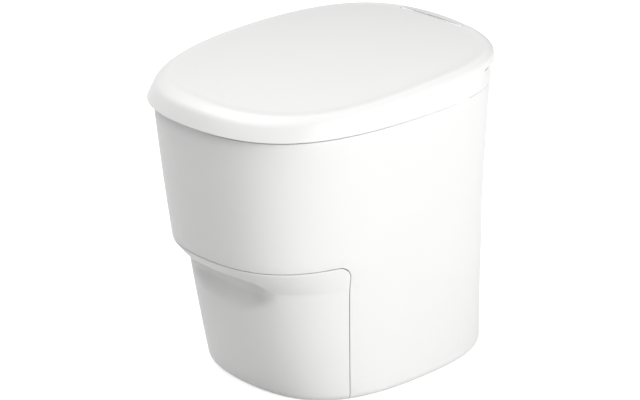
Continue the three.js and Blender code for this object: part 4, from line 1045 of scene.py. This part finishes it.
class TOILET_OT_liner(bpy.types.Operator):
    """Film liner that hangs in the bowl in soft pleats, and the folded film in the cassette"""

    bl_idname = "toilet.liner"
    bl_label = "Film liner"

    def drawn_in(self, outline, amount):
        """An outline whose points lie nearer to its middle by an amount, one for each or for all."""
        away = outline - outline.mean(axis=0)
        reach = np.linalg.norm(away, axis=1, keepdims=True) + 1e-9
        return outline - away / reach * np.minimum(np.reshape(amount, (-1, 1)), reach * 0.5)

    def hanging(self, shape):
        """The film from the cassette's lip down to the jaws, its pleats deepest half way."""
        count, thick, pleat = 320, 0.0006, 0.0052
        lip, throat = shape.cassette_top - 0.0036, shape.bowl_top
        rows = [
            (lip, SEAT_HOLE.inset(-0.0032)),
            (lip, SEAT_HOLE),
            (lip - 0.0005, SEAT_HOLE.inset(0.0011)),
            (throat, SEAT_HOLE.inset(0.0062)),
            (WAIST_HEIGHT, FILM_WAIST),
            (0.262, FILM_THROAT),
            (FILM_BOTTOM, FILM_PINCH),
        ]
        outside = []
        around = np.linspace(0, 2 * math.pi, count, endpoint=False)
        for (z0, plan0), (z1, plan1) in zip(rows, rows[1:]):
            for t in np.linspace(0, 1, 2 if z0 > throat + 0.001 else 14, endpoint=False):
                z = z0 + (z1 - z0) * t
                here = plan0.outline(count) * (1 - t) + plan1.outline(count) * t
                depth = max(0.0, (lip - z) / (lip - FILM_BOTTOM))
                folds = np.sin(around * 23 + 1.3 * np.sin(3 * around) + 6 * depth) * 0.6
                folds = folds + np.sin(around * 37 + 2.1 * np.sin(2 * around) - 5 * depth) * 0.4
                swell = math.sin(math.pi * min(1.0, depth * 1.05) ** 0.8)
                outside.append(at_height(self.drawn_in(here, pleat * swell * (0.5 + 0.5 * folds)), z))
        outside.append(at_height(FILM_PINCH.outline(count), FILM_BOTTOM))
        inside = [at_height(self.drawn_in(points[:, :2], thick), points[0, 2] + thick) for points in outside]
        return lofted("hanging_film", [*reversed(outside), *inside])

    def folded(self, shape):
        """The stock of film round the cassette's hole, folded like a bellows."""
        low, high = shape.cassette_bottom + 0.0019, shape.cassette_top - CLEARANCE
        folds, steps = 9, 6
        outer, inner = [], []
        for step in range(folds * steps + 1):
            z = low + (high - low) * step / (folds * steps)
            wave = 0.0019 * (0.5 - 0.5 * math.cos(2 * math.pi * step / steps))
            outer.append(ring(shape.cassette_plan.inset(0.0026 + wave), z))
            inner.append(ring(SEAT_HOLE.inset(-0.0066 - wave), z))
        return lofted("folded_film", [*outer, *reversed(inner)], "tube")

    def execute(self, context):
        shape = Shape(context.scene.toilet_sizes)
        finish_piece(self.hanging(shape), "housing", "film", "film_liner", angle=80)
        finish_piece(self.folded(shape), "housing", "film", "film_pack", angle=80)
        return {"FINISHED"}


class TOILET_OT_cassette(bpy.types.Operator):
    """Frame under the seat with the well for the film cassette, and the cassette's tray and cover"""

    bl_idname = "toilet.cassette"
    bl_label = "Frame and cassette"

    def execute(self, context):
        shape = Shape(context.scene.toilet_sizes)
        s = shape.s
        plan, top, under = shape.cassette_plan, shape.frame_top, shape.frame_top - FRAME_HEIGHT
        edge = shape.body_plan(shape.ledge).inset(s.wall + 0.0006)
        well, floor = plan.inset(-CLEARANCE), shape.well_floor
        rings = rounded(
            (edge, under, 0),
            (edge, top, 0.0012),
            (well, top, 0.0014),
            (well, floor, 0.0008),
            (well.inset(0.008), floor, 0.0006),
            (well.inset(0.008), floor - WELL_FLANGE, 0.0006),
            (well.inset(-0.003), floor - WELL_FLANGE, 0.0012),
            (well.inset(-0.003), under, 0),
        )
        finish_piece(lofted("frame_moulding", rings, "tube"), "housing", "white_plastic", "top_frame")

        low, high, wall = shape.cassette_bottom, shape.cassette_top, CASSETTE_WALL
        rings = rounded(
            (SEAT_HOLE, low, 0),
            (plan, low, 0.0012),
            (plan, high, 0.0005),
            (plan.inset(wall), high, 0.0005),
            (plan.inset(wall), low + wall, 0.0006),
            (SEAT_HOLE.inset(-wall), low + wall, 0.0006),
            (SEAT_HOLE.inset(-wall), high - 0.004, 0.0006),
            (SEAT_HOLE, high - 0.004, 0),
        )
        finish_piece(lofted("cassette_tray", rings, "tube"), "housing", "seat_plastic", "cassette_body")

        low, high = high + CLEARANCE, high + CLEARANCE + COVER_HEIGHT
        rings = rounded(
            (plan.inset(0.012), low, 0),
            (plan, low, 0.0003),
            (plan, high, 0.0008),
            (plan.inset(0.012), high, 0),
            (SEAT_HOLE.inset(-0.004), high, 0.0009),
            (SEAT_HOLE.inset(-0.004), low, 0.0003),
        )
        cover = lofted("cassette_cover_moulding", rings, "tube")
        finish_piece(cover, "housing", "grey_plastic", "cassette_cover")
        return {"FINISHED"}


class TOILET_OT_bin(bpy.types.Operator):
    """Waste bin with a rolled rim, and the smooth bowl over the jaws"""

    bl_idname = "toilet.bin"
    bl_label = "Bin and bowl"

    def execute(self, context):
        shape = Shape(context.scene.toilet_sizes)
        low, top = BIN_BOTTOM, BIN_BOTTOM + BIN_HEIGHT
        foot, rim = BIN_PLAN.inset(0.009), BIN_PLAN.inset(-0.005)
        inner = foot.inset(BIN_WALL)
        rings = rounded(
            (foot.scaled(0.5), low, 0),
            (foot, low, 0.006),
            (BIN_PLAN, top - BIN_WALL, 0.0008),
            (rim, top - BIN_WALL, 0.0006),
            (rim, top, 0.0009),
            (BIN_PLAN.inset(BIN_WALL), top, 0.0012),
            (inner, low + BIN_WALL, 0.006),
            (inner.scaled(0.5), low + BIN_WALL, 0),
        )
        finish_piece(lofted("bin_moulding", rings), "drawer", "grey_plastic", "waste_bin")

        wall, top, mouth = -0.002, shape.bowl_top, SEAT_HOLE.inset(0.004)
        flange = SEAT_HOLE.inset(-0.025)
        rings = rounded(
            (BOWL_FOOT.inset(wall), BOWL_BOTTOM, 0),
            (BOWL_WAIST.inset(wall), WAIST_HEIGHT, 0.02),
            (mouth.inset(wall), top + wall, 0.004),
            (flange, top + wall, 0.0005),
            (flange, top, 0.0005),
            (mouth, top, 0.004),
            (BOWL_WAIST, WAIST_HEIGHT, 0.02),
            (BOWL_FOOT, BOWL_BOTTOM, 0),
            steps=5,
        )
        finish_piece(lofted("bowl_moulding", rings, "tube"), "housing", "seat_plastic", "bowl_funnel")
        return {"FINISHED"}


class TOILET_OT_button(bpy.types.Operator):
    """Start button with a dished cap, and the power inlet with its pin"""

    bl_idname = "toilet.button"
    bl_label = "Button and inlet"

    def execute(self, context):
        shape = Shape(context.scene.toilet_sizes)
        top, stem = shape.console_top + 0.002, shape.console_low + 0.0095
        profile = [
            (0.0038, stem),
            (0.004, stem + 0.0002),
            (0.004, top - 0.007),
            (0.0098, top - 0.007),
            (0.01, top - 0.0068),
            (0.01, top - 0.0010),
            (0.0097, top - 0.0003),
            (0.0090, top),
            (0.0084, top - 0.00005),
            (0.0060, top - 0.0006),
            (0.0030, top - 0.0009),
            (0.0004, top - 0.0010),
        ]
        finish_piece(turned("button_cap", profile, BUTTON), "button", "grey_plastic", "start_button")

        near, far = (corner.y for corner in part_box("power_inlet"))
        face, socket = near + 0.02, far - 0.014
        profile = [
            (0.0086, near),
            (0.009, near + 0.0005),
            (0.009, face),
            (0.0126, face),
            (0.013, face + 0.0004),
            (0.013, far - 0.0008),
            (0.0122, far),
            (0.0046, far),
            (0.004, far - 0.0006),
            (0.004, socket),
        ]
        inlet = turned("inlet_moulding", profile, INLET, "Y")
        pin = round_bar("inlet_pin", 0.0012, (socket, far - 0.0025), INLET, "Y", 24)
        bevel_where(pin, lambda p: True, 0.0004)
        finish_piece(inlet, "housing", "dark_plastic", "power_inlet")
        finish_piece(pin, "housing", "steel")
        return {"FINISHED"}


class TOILET_OT_frame_finishes(bpy.types.Operator):
    """Gives every carried-over node of the frame the finish of its material slot"""

    bl_idname = "toilet.frame_finishes"
    bl_label = "Frame finishes"

    def execute(self, context):
        finishes = make_finishes(context.scene.toilet_colours)
        slots = {part["node"]: part["material_slot"] for part in frame["record"]["subparts"]}
        for node, obj in frame["nodes"].items():
            slot = slots.get(node)
            if slot is None:
                raise RuntimeError(f"the record gives {node} no material slot")
            obj.data.materials.clear()
            obj.data.materials.append(finishes[slot])
            if node in SOFT_EDGED:
                weld = obj.modifiers.new("Weld", "WELD")
                weld.merge_threshold = 0.00002
                bevel = obj.modifiers.new("Bevel", "BEVEL")
                bevel.width = 0.0005
                bevel.segments = 2
                bevel.limit_method = "ANGLE"
                bevel.angle_limit = math.radians(50)
        return {"FINISHED"}


class TOILET_OT_studio(bpy.types.Operator):
    """White floor, soft lamps and the camera of the photograph"""

    bl_idname = "toilet.studio"
    bl_label = "Studio"

    def floor(self):
        """A pale floor that takes the object's shadow and shows white to the camera."""
        bpy.ops.object.select_all(action="DESELECT")
        bpy.ops.mesh.primitive_plane_add(size=FLOOR_SIZE, location=(0, 0, 0))
        floor = bpy.context.object
        floor.name = "studio_floor"
        finish = new_finish("studio_white")
        seen = finish.node("ShaderNodeLightPath", output="Is Camera Ray")
        for ray in ("Is Glossy Ray", "Is Transmission Ray"):
            path = finish.node("ShaderNodeLightPath", output=ray)
            seen = finish.node("ShaderNodeMath", {"operation": "MAXIMUM"}, {0: seen, 1: path})
        tone = {"Color": (FLOOR_TONE, FLOOR_TONE, FLOOR_TONE, 1.0), "Roughness": 1.0}
        paper = finish.node("ShaderNodeBsdfDiffuse", {}, tone)
        white = {"Color": (1, 1, 1, 1), "Strength": seen * FLOOR_GLOW}
        glow = finish.node("ShaderNodeEmission", {}, white)
        both = finish.node("ShaderNodeAddShader", {}, {0: paper, 1: glow})
        finish.node("ShaderNodeOutputMaterial", {}, {"Surface": both})
        floor.data.materials.append(finish.owner)

    def world(self, scene):
        """A white world, dimmer as a light than as a backdrop."""
        scene.world = bpy.data.worlds.new("studio")
        nodes = NodeTree(scene.world)
        seen = nodes.node("ShaderNodeLightPath", output="Is Camera Ray")
        light, shown = (
            nodes.node("ShaderNodeBackground", {}, {"Color": (1, 1, 1, 1), "Strength": strength})
            for strength in (WORLD_LIGHT, 1.0)
        )
        mix = nodes.node("ShaderNodeMixShader", {}, {0: seen, 1: light, 2: shown})
        nodes.node("ShaderNodeOutputWorld", {}, {"Surface": mix})

    def lamp(self, name, place, size, power):
        bpy.ops.object.light_add(type="AREA", location=place)
        obj = bpy.context.object
        obj.name = name
        obj.data.size = size
        obj.data.energy = power
        obj.rotation_euler = (Vector(STUDIO_MIDDLE) - Vector(place)).to_track_quat("-Z", "Y").to_euler()

    def camera(self, scene):
        level = math.cos(CAMERA_ELEVATION)
        back = Vector((math.sin(CAMERA_AZIMUTH), -math.cos(CAMERA_AZIMUTH), 0)) * level
        back.z = math.sin(CAMERA_ELEVATION)
        bpy.ops.object.camera_add(location=CAMERA_AIM + back * CAMERA_DISTANCE)
        camera = bpy.context.object
        camera.name = "photo_camera"
        camera.rotation_euler = (-back).to_track_quat("-Z", "Y").to_euler()
        camera.data.sensor_width = SENSOR
        camera.data.lens = FOCAL_PIXELS / PHOTO_WIDTH * SENSOR
        camera.data.clip_end = 60.0
        scene.camera = camera

    def execute(self, context):
        self.floor()
        self.world(context.scene)
        for name, (place, size, power) in LAMPS.items():
            self.lamp(name, place, size, power)
        self.camera(context.scene)
        context.scene.view_settings.view_transform = "Standard"
        return {"FINISHED"}


OPERATORS = (
    TOILET_OT_body,
    TOILET_OT_front,
    TOILET_OT_lid,
    TOILET_OT_console,
    TOILET_OT_seat,
    TOILET_OT_buffers,
    TOILET_OT_cassette,
    TOILET_OT_liner,
    TOILET_OT_bin,
    TOILET_OT_button,
    TOILET_OT_frame_finishes,
    TOILET_OT_studio,
)


class TOILET_PT_panel(bpy.types.Panel):
    """Builds the toilet piece by piece"""

    bl_idname = "TOILET_PT_panel"
    bl_label = "Waterless Toilet"
    bl_space_type = "VIEW_3D"
    bl_region_type = "UI"
    bl_category = "Toilet"

    def draw(self, context):
        for operator in OPERATORS:
            self.layout.operator(operator.bl_idname)
        for group in (context.scene.toilet_sizes, context.scene.toilet_colours):
            box = self.layout.box()
            for name in group.__annotations__:
                box.prop(group, name)


CLASSES = (ToiletSizes, ToiletColours, *OPERATORS, TOILET_PT_panel)


def register():
    for made in CLASSES:
        bpy.utils.register_class(made)
    bpy.types.Scene.toilet_sizes = bpy.props.PointerProperty(type=ToiletSizes)
    bpy.types.Scene.toilet_colours = bpy.props.PointerProperty(type=ToiletColours)


def unregister():
    del bpy.types.Scene.toilet_sizes
    del bpy.types.Scene.toilet_colours
    for made in reversed(CLASSES):
        bpy.utils.unregister_class(made)


def main():
    register()
    bpy.ops.toilet.frame_finishes()
    bpy.ops.toilet.body()
    bpy.ops.toilet.front()
    bpy.ops.toilet.lid()
    bpy.ops.toilet.console()
    bpy.ops.toilet.seat()
    bpy.ops.toilet.buffers()
    bpy.ops.toilet.cassette()
    bpy.ops.toilet.liner()
    bpy.ops.toilet.bin()
    bpy.ops.toilet.button()
    bpy.ops.toilet.studio()


if __name__ == "__main__":
    main()
